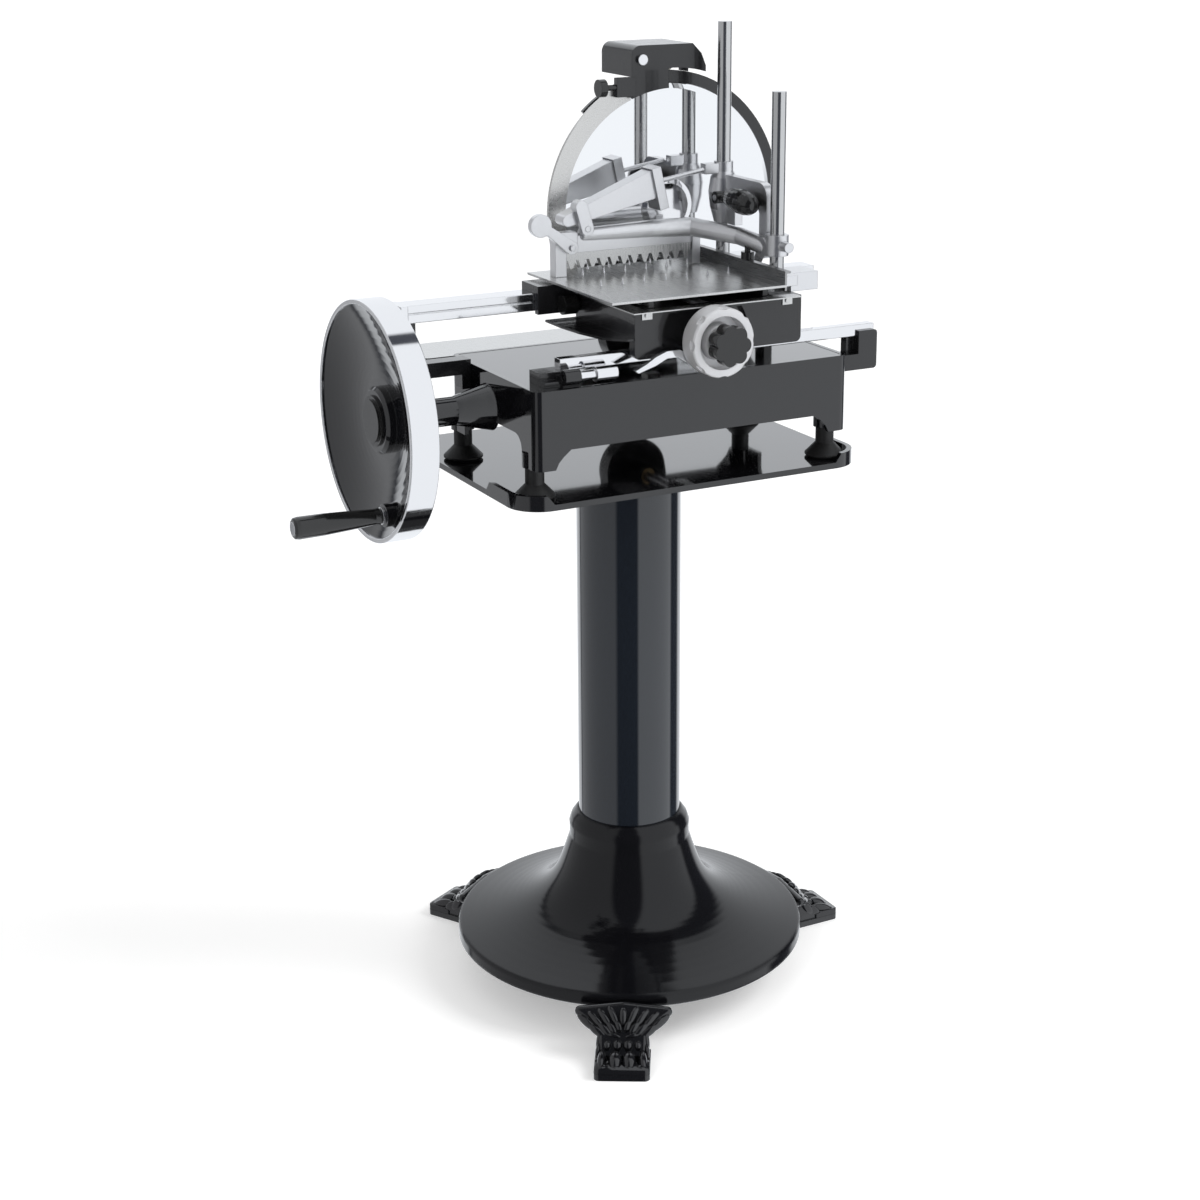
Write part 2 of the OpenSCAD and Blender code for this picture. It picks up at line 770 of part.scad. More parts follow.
module front_bar() {
  color([0.86, 0.87, 0.88]) placed()
    face_x(bar_x) rounded(bar_ys, [bar_top - bar_w, bar_top], bar_chamfer);
}

bar_block_x = [258, 300];
bar_block_y = [-163, -137];
bar_block_low = 30;
bar_arm_h = 22;
bar_block_r = 5;
bar_open = 12;

module front_bar_bracket() {
  low = deck_z - bar_block_low;
  color([0.03, 0.03, 0.03]) placed() difference() {
    union() {
      face_y(bar_block_y) rounded(bar_block_x, [low, bar_top - bar_w / 2], bar_block_r);
      box([base_right, bar_block_x[0] + bar_w], bar_block_y, [low, low + bar_arm_h]);
    }
    box([bar_block_x[0] - over, bar_x[1] + seat_gap], bar_ys, [bar_top - bar_w, bar_top + over]);
    box([bar_block_x[0] - over, bar_block_x[0] + bar_open], [bar_block_y[0] - over, bar_y],
      [low + bar_arm_h, bar_top]);
  }
}

// FLYWHEEL
wheel_r = wheel_d / 2;
rim_t = 6;
rim_edge = 1.2;
dish_depth = 24;
dish_power = 2.2;
dish_steps = 12;
web_thick = 9;
wheel_lip = 4;
hub_r = 44;
hub_back = -354;
hub_face = -393;
cap_r = 33;
cap_t = 3;
cap_step = 5;
spindle_r = 6;
spindle_head = 3;
spindle_collar = 5;
pin_boss_r = 15;
handle_angle = -118;
handle_at = [shaft_y + handle_r * cos(handle_angle), shaft_z + handle_r * sin(handle_angle)];
shaft_tip = cross_x - bevel_r - gear_gap;

module flywheel_rim() {
  color([0.88, 0.88, 0.9]) placed() lathe_x(wheel_front, shaft_y, shaft_z)
    translate([wheel_r - rim_t, 0]) rounded([0, rim_t], [0, rim_w], rim_edge);
}

// Dished disc between hub and rim, its outline given from the front face backwards
function dish(r_in, r_out, t, back) =
  [r_in + (r_out - r_in) * t, wheel_lip + back + dish_depth * (1 - pow(t, dish_power))];

module flywheel_disc() {
  r_out = wheel_r - rim_t - run_gap;
  hub_from = hub_face - wheel_front;
  hub_to = hub_back - wheel_front;
  color([0.05, 0.05, 0.05]) placed() difference() {
    union() {
      lathe_x(wheel_front, shaft_y, shaft_z) polygon(concat(
        [for (i = [0 : dish_steps]) dish(hub_r, r_out, i / dish_steps, 0)],
        [[r_out, wheel_lip + 3 * web_thick], [r_out - wheel_lip, wheel_lip + 3 * web_thick]],
        [for (i = [dish_steps : -1 : 0])
          dish(hub_r, r_out - 2 * wheel_lip, i / dish_steps, web_thick)],
        [[hub_r, hub_to - wheel_lip], [hub_r - wheel_lip, hub_to], [shaft_r + run_gap, hub_to],
          [shaft_r + run_gap, hub_from + wheel_lip], [cap_r + run_gap, hub_from + wheel_lip],
          [cap_r + run_gap, hub_from], [hub_r - wheel_lip, hub_from],
          [hub_r, hub_from + wheel_lip]]));
      rod_x(pin_boss_r, [wheel_front, wheel_front + rim_w / 2], handle_at[0], handle_at[1]);
    }
    rod_x(spindle_r, [wheel_front - over, wheel_front + rim_w], handle_at[0], handle_at[1]);
  }
}

module hub_cap() {
  color([0.06, 0.06, 0.06]) placed() {
    rod_x(cap_r, [hub_face - cap_t, hub_face + wheel_lip], shaft_y, shaft_z);
    rod_x(cap_r - cap_step, [hub_face - 2 * cap_t, hub_face - cap_t], shaft_y, shaft_z);
  }
}

module flywheel_shaft() {
  color([0.7, 0.71, 0.73]) placed() {
    rod_x(shaft_r, [hub_face + wheel_lip + seat_gap, shaft_tip], shaft_y, shaft_z);
    rod_x(bevel_core_r, [cross_x - bevel_r - bevel_core_l, cross_x - bevel_r], shaft_y, shaft_z);
    translate([cross_x - bevel_r, shaft_y, shaft_z]) rotate([0, 90, 0]) bevel(0);
  }
}

module handle_spindle() {
  color([0.85, 0.85, 0.87]) placed() {
    rod_x(spindle_r, [-grip_end, wheel_front + rim_w / 2], handle_at[0], handle_at[1]);
    rod_x(spindle_r + spindle_collar, [wheel_front - grip_gap, wheel_front - seat_gap],
      handle_at[0], handle_at[1]);
    rod_x(spindle_r + spindle_head, [-grip_end, spindle_head - grip_end],
      handle_at[0], handle_at[1]);
  }
}

// Grip that swells from the wheel to its end and turns on the spindle: shares of its
// greatest radius and of its length from the free end
grip_r = 14.5;
grip_shares = [[0, 0.02], [0.75, 0], [0.93, 0.015], [1, 0.06], [0.97, 0.35], [0.8, 0.75],
  [0.72, 0.92], [0.76, 0.98], [0.66, 1], [0, 1]];

module handle_grip() {
  from = wheel_front - grip_gap - seat_gap;
  color([0.02, 0.02, 0.02]) placed() difference() {
    lathe_x(from - grip_len, handle_at[0], handle_at[1])
      polygon([for (s = grip_shares) [grip_r * s[0], grip_len * s[1]]]);
    rod_x(spindle_r + run_gap, [from - grip_len - over, from + over], handle_at[0], handle_at[1]);
    rod_x(spindle_r + spindle_head + run_gap,
      [from - grip_len - over, spindle_head + seat_gap - grip_end], handle_at[0], handle_at[1]);
  }
}

// DRIVE INSIDE THE BASE
crank_disc_r = 68;
lever_w = 22;
lever_slot_w = 13;
lever_slot = [30, 165];
lever_hub_r = 12;
lever_end_r = 10;
fork_pin_r = 5;

module crank_shaft() {
  color([0.5, 0.5, 0.52]) placed() {
    rod_z(crank_shaft_r, [crank_foot_z, crank_top], cross_x, shaft_y);
    rod_z(crank_disc_r, [crank_top - crank_t, crank_top], cross_x, shaft_y);
    rod_z(crank_pin_r, [crank_top - over, pin_top], crank_pin_at[0], crank_pin_at[1]);
    rod_z(bevel_core_r, [cross_z + bevel_r, shaft_z - bevel_r], cross_x, shaft_y);
    translate([cross_x, shaft_y, shaft_z - bevel_r]) bevel(180 / bevel_n);
    translate([cross_x, shaft_y, cross_z + bevel_r]) mirror([0, 0, 1]) bevel(0);
  }
}

module rocker_lever() {
  zs = [lever_top - lever_t, lever_top];
  color([0.45, 0.46, 0.48]) placed() translate([cross_x, rocker_pivot_y, 0])
    rotate(rocker_rest) difference() {
      union() {
        rod_z(lever_hub_r, zs);
        box([-lever_w / 2, lever_w / 2], [-rocker_reach, 0], zs);
        rod_z(lever_end_r, zs, 0, -rocker_reach);
        rod_z(fork_pin_r, [lever_top - over, fork_top - level_gap / 2], 0, -rocker_reach);
      }
      rod_z(rocker_pin_r + run_gap, [zs[0] - over, zs[1] + over]);
      slab([-lever_slot_w / 2, lever_slot_w / 2], [-lever_slot[1], -lever_slot[0]],
        [zs[0] - over, zs[1] + over], lever_slot_w / 2 - run_gap);
    }
}

module cross_shaft() {
  from = shaft_y + bevel_r;
  color([0.7, 0.71, 0.73]) placed() {
    rod_y(cross_r, [from, case_back - seat_gap], cross_x, cross_z);
    rod_y(bevel_core_r, [from, from + bevel_core_l], cross_x, cross_z);
    translate([cross_x, from, cross_z]) rotate([90, 0, 0]) bevel(180 / bevel_n);
    spur(first_n, [cross_x, cross_z], mesh_dir, cross_r - over);
  }
}

module lower_idler() {
  color([0.55, 0.5, 0.35]) placed()
    spur(lower_n, lower_at, mesh_dir + 180 + 180 / lower_n, idler_pin_r + run_gap);
}

module upper_idler() {
  color([0.55, 0.5, 0.35]) placed()
    spur(upper_n, upper_at, mesh_dir + 180 + 180 / upper_n, idler_pin_r + run_gap);
}

// BLADE AND GUARD
hub_disc_r = 40;
hub_disc_edge = 8;
hub_disc_t = 4;
hub_flange_r = 24;
blade_r = blade_d / 2;
bevel_band = 8;
edge_t = 0.5;
guard_r = guard_d / 2;
guard_lip = 1;
guard_in = 158;
guard_left_r = 176;
guard_wide = [-50, 133];
guard_ear = [202, 208];
guard_gap = 1.7;
guard_y = blade_y + blade_t + guard_gap;
guard_t = case_front - guard_y;
guard_deep = 6.3;
guard_arm_w = 26;
guard_hub = [26, 48];
band_off = 4;
band_t = 5;
band_y = [blade_y - band_off - band_t, blade_y - band_off];
band_in = 162.3;
band_pin_r = 5;
band_pins = [130, 205];

module blade_shaft() {
  color([0.75, 0.76, 0.78]) placed() {
    rod_y(blade_shaft_r, [blade_y - over, case_back - seat_gap], blade_x, blade_z);
    rod_y(hub_flange_r, [blade_y + blade_t, case_front - blade_boss_l - seat_gap],
      blade_x, blade_z);
    spur(pinion_n, [blade_x, blade_z], mesh_dir + 180 + 180 / pinion_n, blade_shaft_r - over);
    lathe_y(blade_y - hub_disc_t, blade_x, blade_z)
      polygon([[0, 0], [hub_disc_r - hub_disc_edge, 0], [hub_disc_r, hub_disc_t * 0.75],
        [hub_disc_r, hub_disc_t], [0, hub_disc_t]]);
  }
}

module blade() {
  color([0.93, 0.94, 0.95]) placed() difference() {
    lathe_y(blade_y, blade_x, blade_z) polygon([[0, 0], [blade_r - bevel_band, 0],
      [blade_r, blade_t - edge_t], [blade_r, blade_t], [0, blade_t]]);
    rod_y(blade_shaft_r, [blade_y - over, blade_y + blade_t + over], blade_x, blade_z);
  }
}

// Sector of a ring about the blade's axis, between two angles in X and Z
sector_steps = 8;
module sector(r_in, r_out, a) {
  translate([blade_x, blade_z]) difference() {
    intersection() {
      circle(r = r_out, $fn = 128);
      polygon(concat([[0, 0]], [for (i = [0 : sector_steps])
        2 * r_out * [cos(a[0] + (a[1] - a[0]) * i / sector_steps),
          sin(a[0] + (a[1] - a[0]) * i / sector_steps)]]));
    }
    circle(r = r_in, $fn = 128);
  }
}

module guard_ring() {
  color([0.03, 0.03, 0.03]) placed() difference() {
    union() {
      face_y([guard_y, guard_y + guard_deep]) {
        sector(guard_in, guard_r - guard_lip, guard_wide);
        sector(guard_in, guard_left_r, [guard_wide[1] - guard_lip, 228]);
        sector(guard_in, guard_r - guard_lip, guard_ear);
      }
      for (a = [62, 118]) face_y([guard_y, guard_y + guard_t]) translate([blade_x, blade_z])
        rotate(a) translate([guard_hub[0], -guard_arm_w / 2])
          square([guard_in - guard_hub[0] + guard_t, guard_arm_w]);
      rod_y(guard_hub[1], [guard_y, guard_y + guard_t], blade_x, blade_z);
    }
    rod_y(guard_hub[0], [guard_y - over, guard_y + guard_deep], blade_x, blade_z);
  }
}

module guard_band() {
  color([0.78, 0.78, 0.77]) placed() {
    face_y(band_y) sector(band_in, guard_r + edge_t, [112, 228]);
    for (a = band_pins) translate([blade_x, 0, blade_z]) rotate([0, -a, 0])
      rod_y(band_pin_r, [band_y[0] + over, guard_y], blade_r + 2 * band_pin_r, 0);
  }
}

// Knob and bracket that hold the upper end of the band
knob_x = [-12, -2];
knob_r = 12;
knob_stem_r = 4;
knob_bracket_x = [15, 36];
knob_bracket_h = 26;
knob_y = [58, 67];
knob_rise = 169;
knob_z = blade_z + knob_rise;

module guard_knob() {
  y = mid(knob_y);
  color([0.04, 0.04, 0.04]) placed() {
    rod_x(knob_r, knob_x, y, knob_z, $fn = 24);
    rod_x(knob_stem_r, [knob_x[1] - over, knob_bracket_x[0] - seat_gap], y, knob_z);
  }
}

// Sharpener: a cover over the top of the ring, its skirt, a button and two stones inside
cover_x = [38.6, 155];
cover_y = [60, 148];
cover_rise = 224;
cover_top = blade_z + cover_rise;
cover_low = 186;
cover_r = 14;
cover_wall = 4;
cover_slope = 7;
skirt_in = 165;
skirt_angles = [92, 112.3];
leg_x = [[60, 72], [128, 140]];
button_r = 7.3;
button_x = 54;
button_rise = 205;
button_z = blade_z + button_rise;
button_out = 5;
button_in = 12;
button_travel = 4;
stone_r = 12;
stone_t = 10;
stone_pin_r = 4;
stone_x = 96;
stone_rise = 200;

module cover_front(inset) {
  low = blade_z + cover_low;
  difference() {
    union() {
      rounded([cover_x[0] + inset, cover_x[1] - cover_r - cover_slope - inset],
        [low - 2 * cover_r, cover_top - inset], cover_r - inset);
      polygon([[cover_x[0] + cover_r + inset, low - cover_r], [cover_x[1] - inset, low - cover_r],
        [cover_x[1] - inset, low + cover_r / 2],
        [cover_x[1] - cover_slope - inset, cover_top - cover_r],
        [cover_x[1] - cover_slope - cover_r, cover_top - inset],
        [cover_x[0] + cover_r + inset, cover_top - inset]]);
    }
    translate([blade_x, blade_z]) circle(r = guard_r + cover_wall, $fn = 128);
    translate([cover_x[0] - over, low - 3 * cover_r])
      square([cover_x[1] - cover_x[0] + 2 * over, 3 * cover_r - cover_r]);
  }
}

module sharpener_cover() {
  inner_y = [cover_y[0] + cover_wall, cover_y[1] - cover_wall];
  color([0.05, 0.05, 0.05]) placed() {
    difference() {
      union() {
        face_y(cover_y) cover_front(0);
        face_y([cover_y[0], inner_y[0]]) intersection() {
          sector(skirt_in, guard_r + 2 * cover_wall, skirt_angles);
          translate([cover_x[0], blade_z]) square([cover_x[1] - cover_x[0], cover_rise]);
        }
      }
      difference() {
        face_y(inner_y) translate([0, -over]) cover_front(cover_wall);
        for (l = leg_x) box(l, [guard_y, guard_y + guard_deep], [blade_z, cover_top]);
      }
      difference() {
        face_y([inner_y[0], cover_y[1] + over]) translate([blade_x, blade_z])
          circle(r = guard_r + cover_wall + over, $fn = 128);
        for (l = leg_x) box(l, [guard_y, guard_y + guard_deep], [blade_z, cover_top]);
      }
      rod_y(button_r + run_gap, [cover_y[0] - over, inner_y[0] + over], button_x, button_z);
    }
    difference() {
      for (l = leg_x) box(l, [guard_y, guard_y + guard_deep],
        [blade_z + guard_in, cover_top - cover_wall / 2 - cover_r]);
      face_y([guard_y - over, guard_y + guard_deep + over]) translate([blade_x, blade_z])
        circle(r = guard_r - guard_lip + seat_gap, $fn = 128);
    }
    box([knob_bracket_x[0], knob_bracket_x[1] + 2 * cover_wall], knob_y,
      [knob_z - knob_bracket_h / 2, knob_z + knob_bracket_h / 2]);
  }
}

module sharpener_button() {
  color([0.9, 0.9, 0.92]) placed()
    rod_y(button_r, [cover_y[0] - button_out, cover_y[0] + button_in], button_x, button_z);
}

module sharpener_stones() {
  z = blade_z + stone_rise;
  color([0.6, 0.6, 0.62]) placed() {
    rod_y(stone_r, [blade_y - stone_t - over, blade_y - over], stone_x, z);
    rod_y(stone_r, [guard_y + guard_deep + over, guard_y + guard_deep + over + stone_t],
      stone_x, z);
    rod_y(stone_pin_r, [cover_y[0] + cover_wall, cover_y[1] - cover_wall], stone_x, z);
  }
}

// CARRIAGE
body_back = -8;
body_wall = 6;
body_edge = 8;
pocket_r = 65;
pocket_deep = 8;
pocket_lip = 4;
flange_plate_t = 3;
flange_steps = [[-84, -173], [-93, -172], [-108, -158], [-116, -145], [-126, -100],
  [-130, -54], [-130, -8], [-84, -8]];
fork_w = 34;
fork_slot = 20;
fork_tip = -183;
fork_wall = 5;
fork_slot_back = -92;
shoe_x = [60, 150];
shoe_y = [-165, -135];
shoe_low = 1;
rib_x = [[-60, -52], [112, 120]];
rib_y = [-168, -14];
nut_slot_half = 14;
nut_slot_y = [-160, -15];
dial_x = 21;
dial_rise = 44;
dial_z = deck_z + dial_rise;
screw_r = 6;

module carriage_body() {
  neck_y = [slot_y - slot_half + over, slot_y + slot_half - over];
  shell_x = [body_left, body_right];
  color([0.04, 0.04, 0.04]) placed() difference() {
    union() {
      face_y([body_front, body_front + body_wall + pocket_deep])
        rounded(shell_x, [apron_z, body_top], body_edge);
      box(shell_x, [body_front, body_back], [body_top - body_wall, body_top]);
      for (x = [body_left, body_right - body_wall])
        box([x, x + body_wall], [body_front + body_wall, body_back], [wall_z, body_top]);
      box(shell_x, [body_back - body_wall, body_back], [wall_z, body_top]);
      translate([0, 0, wall_z - flange_plate_t]) linear_extrude(flange_plate_t)
        polygon(concat(flange_steps, [[body_left + body_wall, body_back],
          [body_left + body_wall, body_front + body_wall]]));
      box([fork_at[0] - fork_neck, fork_at[0] + fork_neck], neck_y,
        [fork_top - fork_t, body_top - over]);
      box([fork_at[0] - fork_w / 2, fork_at[0] + fork_w / 2], [fork_tip, neck_y[1]],
        [fork_top - fork_t, fork_top]);
      box(shoe_x, shoe_y, [apron_z + shoe_low, body_top - over]);
      for (x = rib_x) box(x, rib_y, [body_top - over, table_z - table_t - run_gap]);
    }
    face_y([body_front - over, body_front + pocket_deep]) intersection() {
      translate([dial_x, dial_z]) circle(r = pocket_r);
      translate([body_left, apron_z + pocket_lip])
        square([body_len, body_top - body_wall - apron_z - pocket_lip]);
    }
    box([fork_at[0] - fork_slot / 2, fork_at[0] + fork_slot / 2],
      [fork_tip + fork_wall, fork_slot_back], [fork_top - fork_t - over, fork_top + over]);
    box([shoe_x[0] - over, shoe_x[1] + over], [bar_ys[0] - run_gap, bar_ys[1] + run_gap],
      [apron_z, bar_top + run_gap]);
    rod_y(screw_r + run_gap, [body_front, body_front + 2 * body_wall + pocket_deep],
      dial_x, dial_z);
    box([dial_x - nut_slot_half, dial_x + nut_slot_half], nut_slot_y,
      [body_top - body_wall - over, body_top + over]);
  }
}

slider_x = [-140, 141.5];
slider_y = [-7.7, 42];
slider_low = 28;
slider_cap = 10;
slider_gap = 0.1;
slider_post = 3;

module carriage_slider() {
  open_x = [slider_x[0] - over, slider_x[1] + over];
  color([0.03, 0.03, 0.03]) placed() difference() {
    box(slider_x, slider_y, [rail_top - slider_low, rail_top + slider_cap]);
    box(open_x, [-slider_gap, rail_w + slider_gap],
      [rail_top - rail_h - slider_gap, rail_top + slider_gap]);
    box(open_x, [bracket_y[0] - slider_post, bracket_y[1] + slider_post],
      [rail_top - slider_low - over, rail_top]);
  }
}

// Knob on the carriage's left wall that locks the table
side_knob_r = 13;
side_knob_x = [-112, -92];
side_stem_r = 5;
side_knob_y = -22;
side_knob_z = rail_top - 15;

module side_knob() {
  color([0.08, 0.08, 0.08]) placed() {
    rod_x(side_knob_r, side_knob_x, side_knob_y, side_knob_z, $fn = 24);
    rod_x(side_stem_r, [side_knob_x[1] - over, body_left - seat_gap], side_knob_y, side_knob_z);
  }
}

// Stainless plate over the front and left edge of the body, held by two tabs
ledge_x = [-93, 159];
ledge_y = [-190, -172];
ledge_side = 25;
ledge_back = -24;
ledge_t = 1.5;
tab_w = 15;
tab_h = 11;
tab_at = [-74, 138];
tab_screw_r = 3.5;
tab_screw_h = 2;

module ledge_plate() {
  color([0.8, 0.8, 0.8]) placed() {
    box(ledge_x, ledge_y, [body_top, body_top + ledge_t]);
    box([ledge_x[0], ledge_x[0] + ledge_side], [ledge_y[0], ledge_back],
      [body_top, body_top + ledge_t]);
    for (x = tab_at) {
      box([x, x + tab_w], [body_front - ledge_t, body_front], [body_top - tab_h, body_top + over]);
      rod_y(tab_screw_r, [body_front - ledge_t - tab_screw_h, body_front - ledge_t],
        x + tab_w / 2, body_top - tab_h / 2);
    }
  }
}

dial_y = [-223, -192.6];
dial_hub_r = 16;
dial_face_in = 11;
dial_face_deep = 19;
dial_edge = 3;
pointer_r = 7;
pointer_at = [46, 18];
scallops = 8;
scallop_r = 13;
scallop_at = 56.5;
scallop_l = 9;
knob_front = -246;
star_l = 20;
star_r = 22;
star_lobe_r = 10;
star_lobe_at = 17;
star_lobes = 7;
star_hub_r = 15;
screw_end = -15;
screw_nose = 6;
screw_core_r = 5.5;
collar_r = 11;
collar_t = 3;

module thickness_dial() {
  color([0.82, 0.82, 0.83]) placed() difference() {
    union() {
      rod_y(dial_hub_r, [dial_y[1] - over, body_front + pocket_deep - seat_gap], dial_x, dial_z);
      lathe_y(dial_y[0], dial_x, dial_z)
        rounded([0, dial_d / 2], [0, dial_y[1] - dial_y[0]], dial_edge);
      rod_y(pointer_r, [dial_y[1] - ledge_t - dial_edge, dial_y[1]],
        dial_x + pointer_at[0], dial_z + pointer_at[1]);
    }
    rod_y(dial_d / 2 - dial_face_in, [dial_y[0] - over, dial_y[0] + dial_face_deep],
      dial_x, dial_z);
    for (i = [0 : scallops - 1]) rod_y(scallop_r, [dial_y[0] - over, dial_y[0] + scallop_l],
      dial_x + scallop_at * cos(i * 360 / scallops), dial_z + scallop_at * sin(i * 360 / scallops));
    rod_y(screw_r + run_gap, [dial_y[0], body_front + pocket_deep], dial_x, dial_z);
  }
}

module feed_knob() {
  nose = knob_front + screw_nose;
  color([0.05, 0.05, 0.05]) placed() difference() {
    union() {
      rod_y(star_hub_r, [knob_front + over, dial_y[0] + dial_face_deep - seat_gap],
        dial_x, dial_z);
      translate([dial_x, 0, dial_z]) face_y([knob_front, knob_front + star_l]) {
        circle(r = star_r);
        for (i = [0 : star_lobes - 1]) rotate(i * 360 / star_lobes)
          translate([star_lobe_at, 0]) circle(r = star_lobe_r);
      }
    }
    rod_y(screw_core_r, [nose, body_front], dial_x, dial_z);
  }
}

module feed_screw() {
  back = body_front + body_wall + pocket_deep;
  step = dial_y[0] + dial_face_deep + over;
  color([0.6, 0.6, 0.62]) placed() {
    rod_y(screw_r, [step, screw_end], dial_x, dial_z);
    rod_y(screw_core_r, [knob_front + screw_nose, step + over], dial_x, dial_z);
    rod_y(collar_r, [back + seat_gap, back + seat_gap + collar_t], dial_x, dial_z);
  }
}

// Lever that frees the carriage from the drive, in front of the dial's lower left
release_y = [-192, -186.3];
release_pin_r = 4;
release_eye_r = 8;
release_eye_rise = 10;
release_pin_at = [-14, 22];
release_shares = [[0, 0.72], [-0.16, 1], [-0.4, 1], [-0.62, 0.75], [-0.8, 0.42], [-1, 0.14],
  [-0.94, 0], [-0.62, 0.3], [-0.4, 0.62], [-0.2, 0.62], [0, 0.2], [0.12, 0.46]];
release_len = 78;
release_h = 25;

module release_lever() {
  at = [release_pin_at[0], deck_z + release_pin_at[1]];
  color([0.85, 0.85, 0.86]) placed() {
    translate([at[0], 0, at[1] - release_h / 2]) face_y(release_y)
      polygon([for (s = release_shares) [release_len * s[0], release_h * s[1]]]);
    rod_y(release_eye_r, release_y, at[0], at[1] + release_eye_rise);
    rod_y(release_pin_r, [release_y[0], body_front + pocket_deep - seat_gap], at[0],
      at[1] + release_eye_rise);
  }
}

// Lock that parks the carriage: block on the deck, sprung plunger and its knob
lock_x = [-212, -160];
lock_y = [-172, -128];
lock_foot_h = 7;
housing_x = [-188, -166];
housing_r = 10;
plunger_rise = 12;
plunger_z = deck_z + plunger_rise;
plunger_y = -176;
plunger_r = 4;
plunger_neck_r = 6.5;
plunger_neck_x = [-165, -142];
plunger_knob_x = [-143, -113];
plunger_knob_r = 9.8;
plunger_in = -178;
spring_r = 6.5;
spring_bore_r = 5;
housing_wall = 3;

module lock_block() {
  color([0.04, 0.04, 0.04]) placed() difference() {
    union() {
      box(lock_x, [bar_ys[0], lock_y[1]], [plate_top, bar_top - bar_w]);
      box(lock_x, [lock_y[0], bar_ys[0] + over], [plate_top, plate_top + lock_foot_h]);
      rod_x(housing_r, housing_x, plunger_y, plunger_z);
      box(housing_x, [plunger_y, bar_ys[0] + over], [plate_top, plunger_z]);
    }
    rod_x(spring_r + run_gap, [housing_x[0] + housing_wall, housing_x[1] - housing_wall],
      plunger_y, plunger_z);
    rod_x(plunger_r + run_gap, [housing_x[0], housing_x[1] + over], plunger_y, plunger_z);
    box([housing_x[0] - over, housing_x[1] + over], [plunger_y - housing_r - over,
      base_front + plate_inset + seat_gap], [plate_top - over, deck_z + seat_gap]);
  }
}

module lock_plunger() {
  color([0.85, 0.85, 0.87]) placed() {
    rod_x(plunger_r, [plunger_in, plunger_neck_x[0] + over], plunger_y, plunger_z);
    rod_x(plunger_neck_r, plunger_neck_x, plunger_y, plunger_z);
    rod_x(plunger_knob_r, plunger_knob_x, plunger_y, plunger_z);
  }
}

module lock_spring() {
  color([0.7, 0.7, 0.7]) placed() difference() {
    rod_x(spring_r, [housing_x[0] + housing_wall, housing_x[1] - housing_wall],
      plunger_y, plunger_z);
    rod_x(spring_bore_r, [housing_x[0], housing_x[1]], plunger_y, plunger_z);
  }
}

// TABLE AND CLAMP
nut_y = [-36, -18];
nut_half = 10.3;
nut_arm_half = 8;
runner_t = 4;
runner_y = [-150, -14];
runner_h = 9;

module table_plate() {
  low = table_z - table_t;
  color([0.78, 0.78, 0.78]) placed() difference() {
    union() {
      box([table_left, table_right], [table_front, table_back], [low, table_z]);
      box([dial_x - nut_half, dial_x + nut_half], nut_y, [dial_z - nut_half, dial_z + nut_half]);
      box([dial_x - nut_arm_half, dial_x + nut_arm_half], nut_y, [dial_z, low + over]);
      box([rib_x[0][0] - runner_t - slider_gap, rib_x[0][0] - slider_gap], runner_y,
        [low - runner_h, low + over]);
      box([rib_x[1][1] + slider_gap, rib_x[1][1] + runner_t + slider_gap], runner_y,
        [low - runner_h, low + over]);
    }
    rod_y(screw_r + run_gap, [nut_y[0] - over, nut_y[1] + over], dial_x, dial_z);
  }
}

spike_r = 2;
spike_tip_r = 0.4;
spike_h = 9;
spike_pitch = 32.5;
// Rows of spikes: where the row starts along X, how far it lies along Y, how many
spike_rows = [[-78, -70, 7], [-62, 14, 6], [-36, 50, 5]];

module table_spikes() {
  color([0.85, 0.85, 0.86]) placed()
    for (row = spike_rows) for (i = [0 : row[2] - 1])
      translate([row[0] + i * spike_pitch, row[1], table_z])
        cylinder(r1 = spike_r, r2 = spike_tip_r, h = spike_h);
}

fence_t = 3;
fence_rise = 17;
fence_drop = 9;
fence_lip = 9;
fence_y = [-175, 66];

module fence() {
  top = table_z + fence_rise;
  color([0.3, 0.3, 0.31]) placed() {
    box([table_right, table_right + fence_t], fence_y, [table_z - fence_drop, top]);
    box([table_right, table_right + fence_lip], fence_y, [top - fence_t, top]);
  }
}

block_rise = 3;
block_t = 14;
block_right = 184;
block_y = [-140, 48];
foot_block_x = [184, 226];
foot_block_y = [-125, -82];
foot_block_t = 25;
post_neck = 2;
block_z = [table_z + block_rise - block_t, table_z + block_rise];

module post_block() {
  color([0.8, 0.8, 0.81]) placed() difference() {
    union() {
      box([table_right + fence_t, block_right], block_y, block_z);
      box([foot_block_x[0] - over, foot_block_x[1]], foot_block_y,
        [block_z[1] - foot_block_t, block_z[1]]);
    }
    for (y = [tall_y, short_y])
      rod_z(post_r - post_neck + run_gap, [block_z[0] - over, block_z[1] + over], post_x, y);
  }
}

module guide_posts() {
  color([0.8, 0.8, 0.82]) placed() for (p = [[tall_y, tall_post_h], [short_y, short_post_h]]) {
    rod_z(post_r, [block_z[1], table_z + p[1]], post_x, p[0]);
    rod_z(post_r - post_neck, [block_z[0], block_z[1] + over], post_x, p[0]);
  }
}

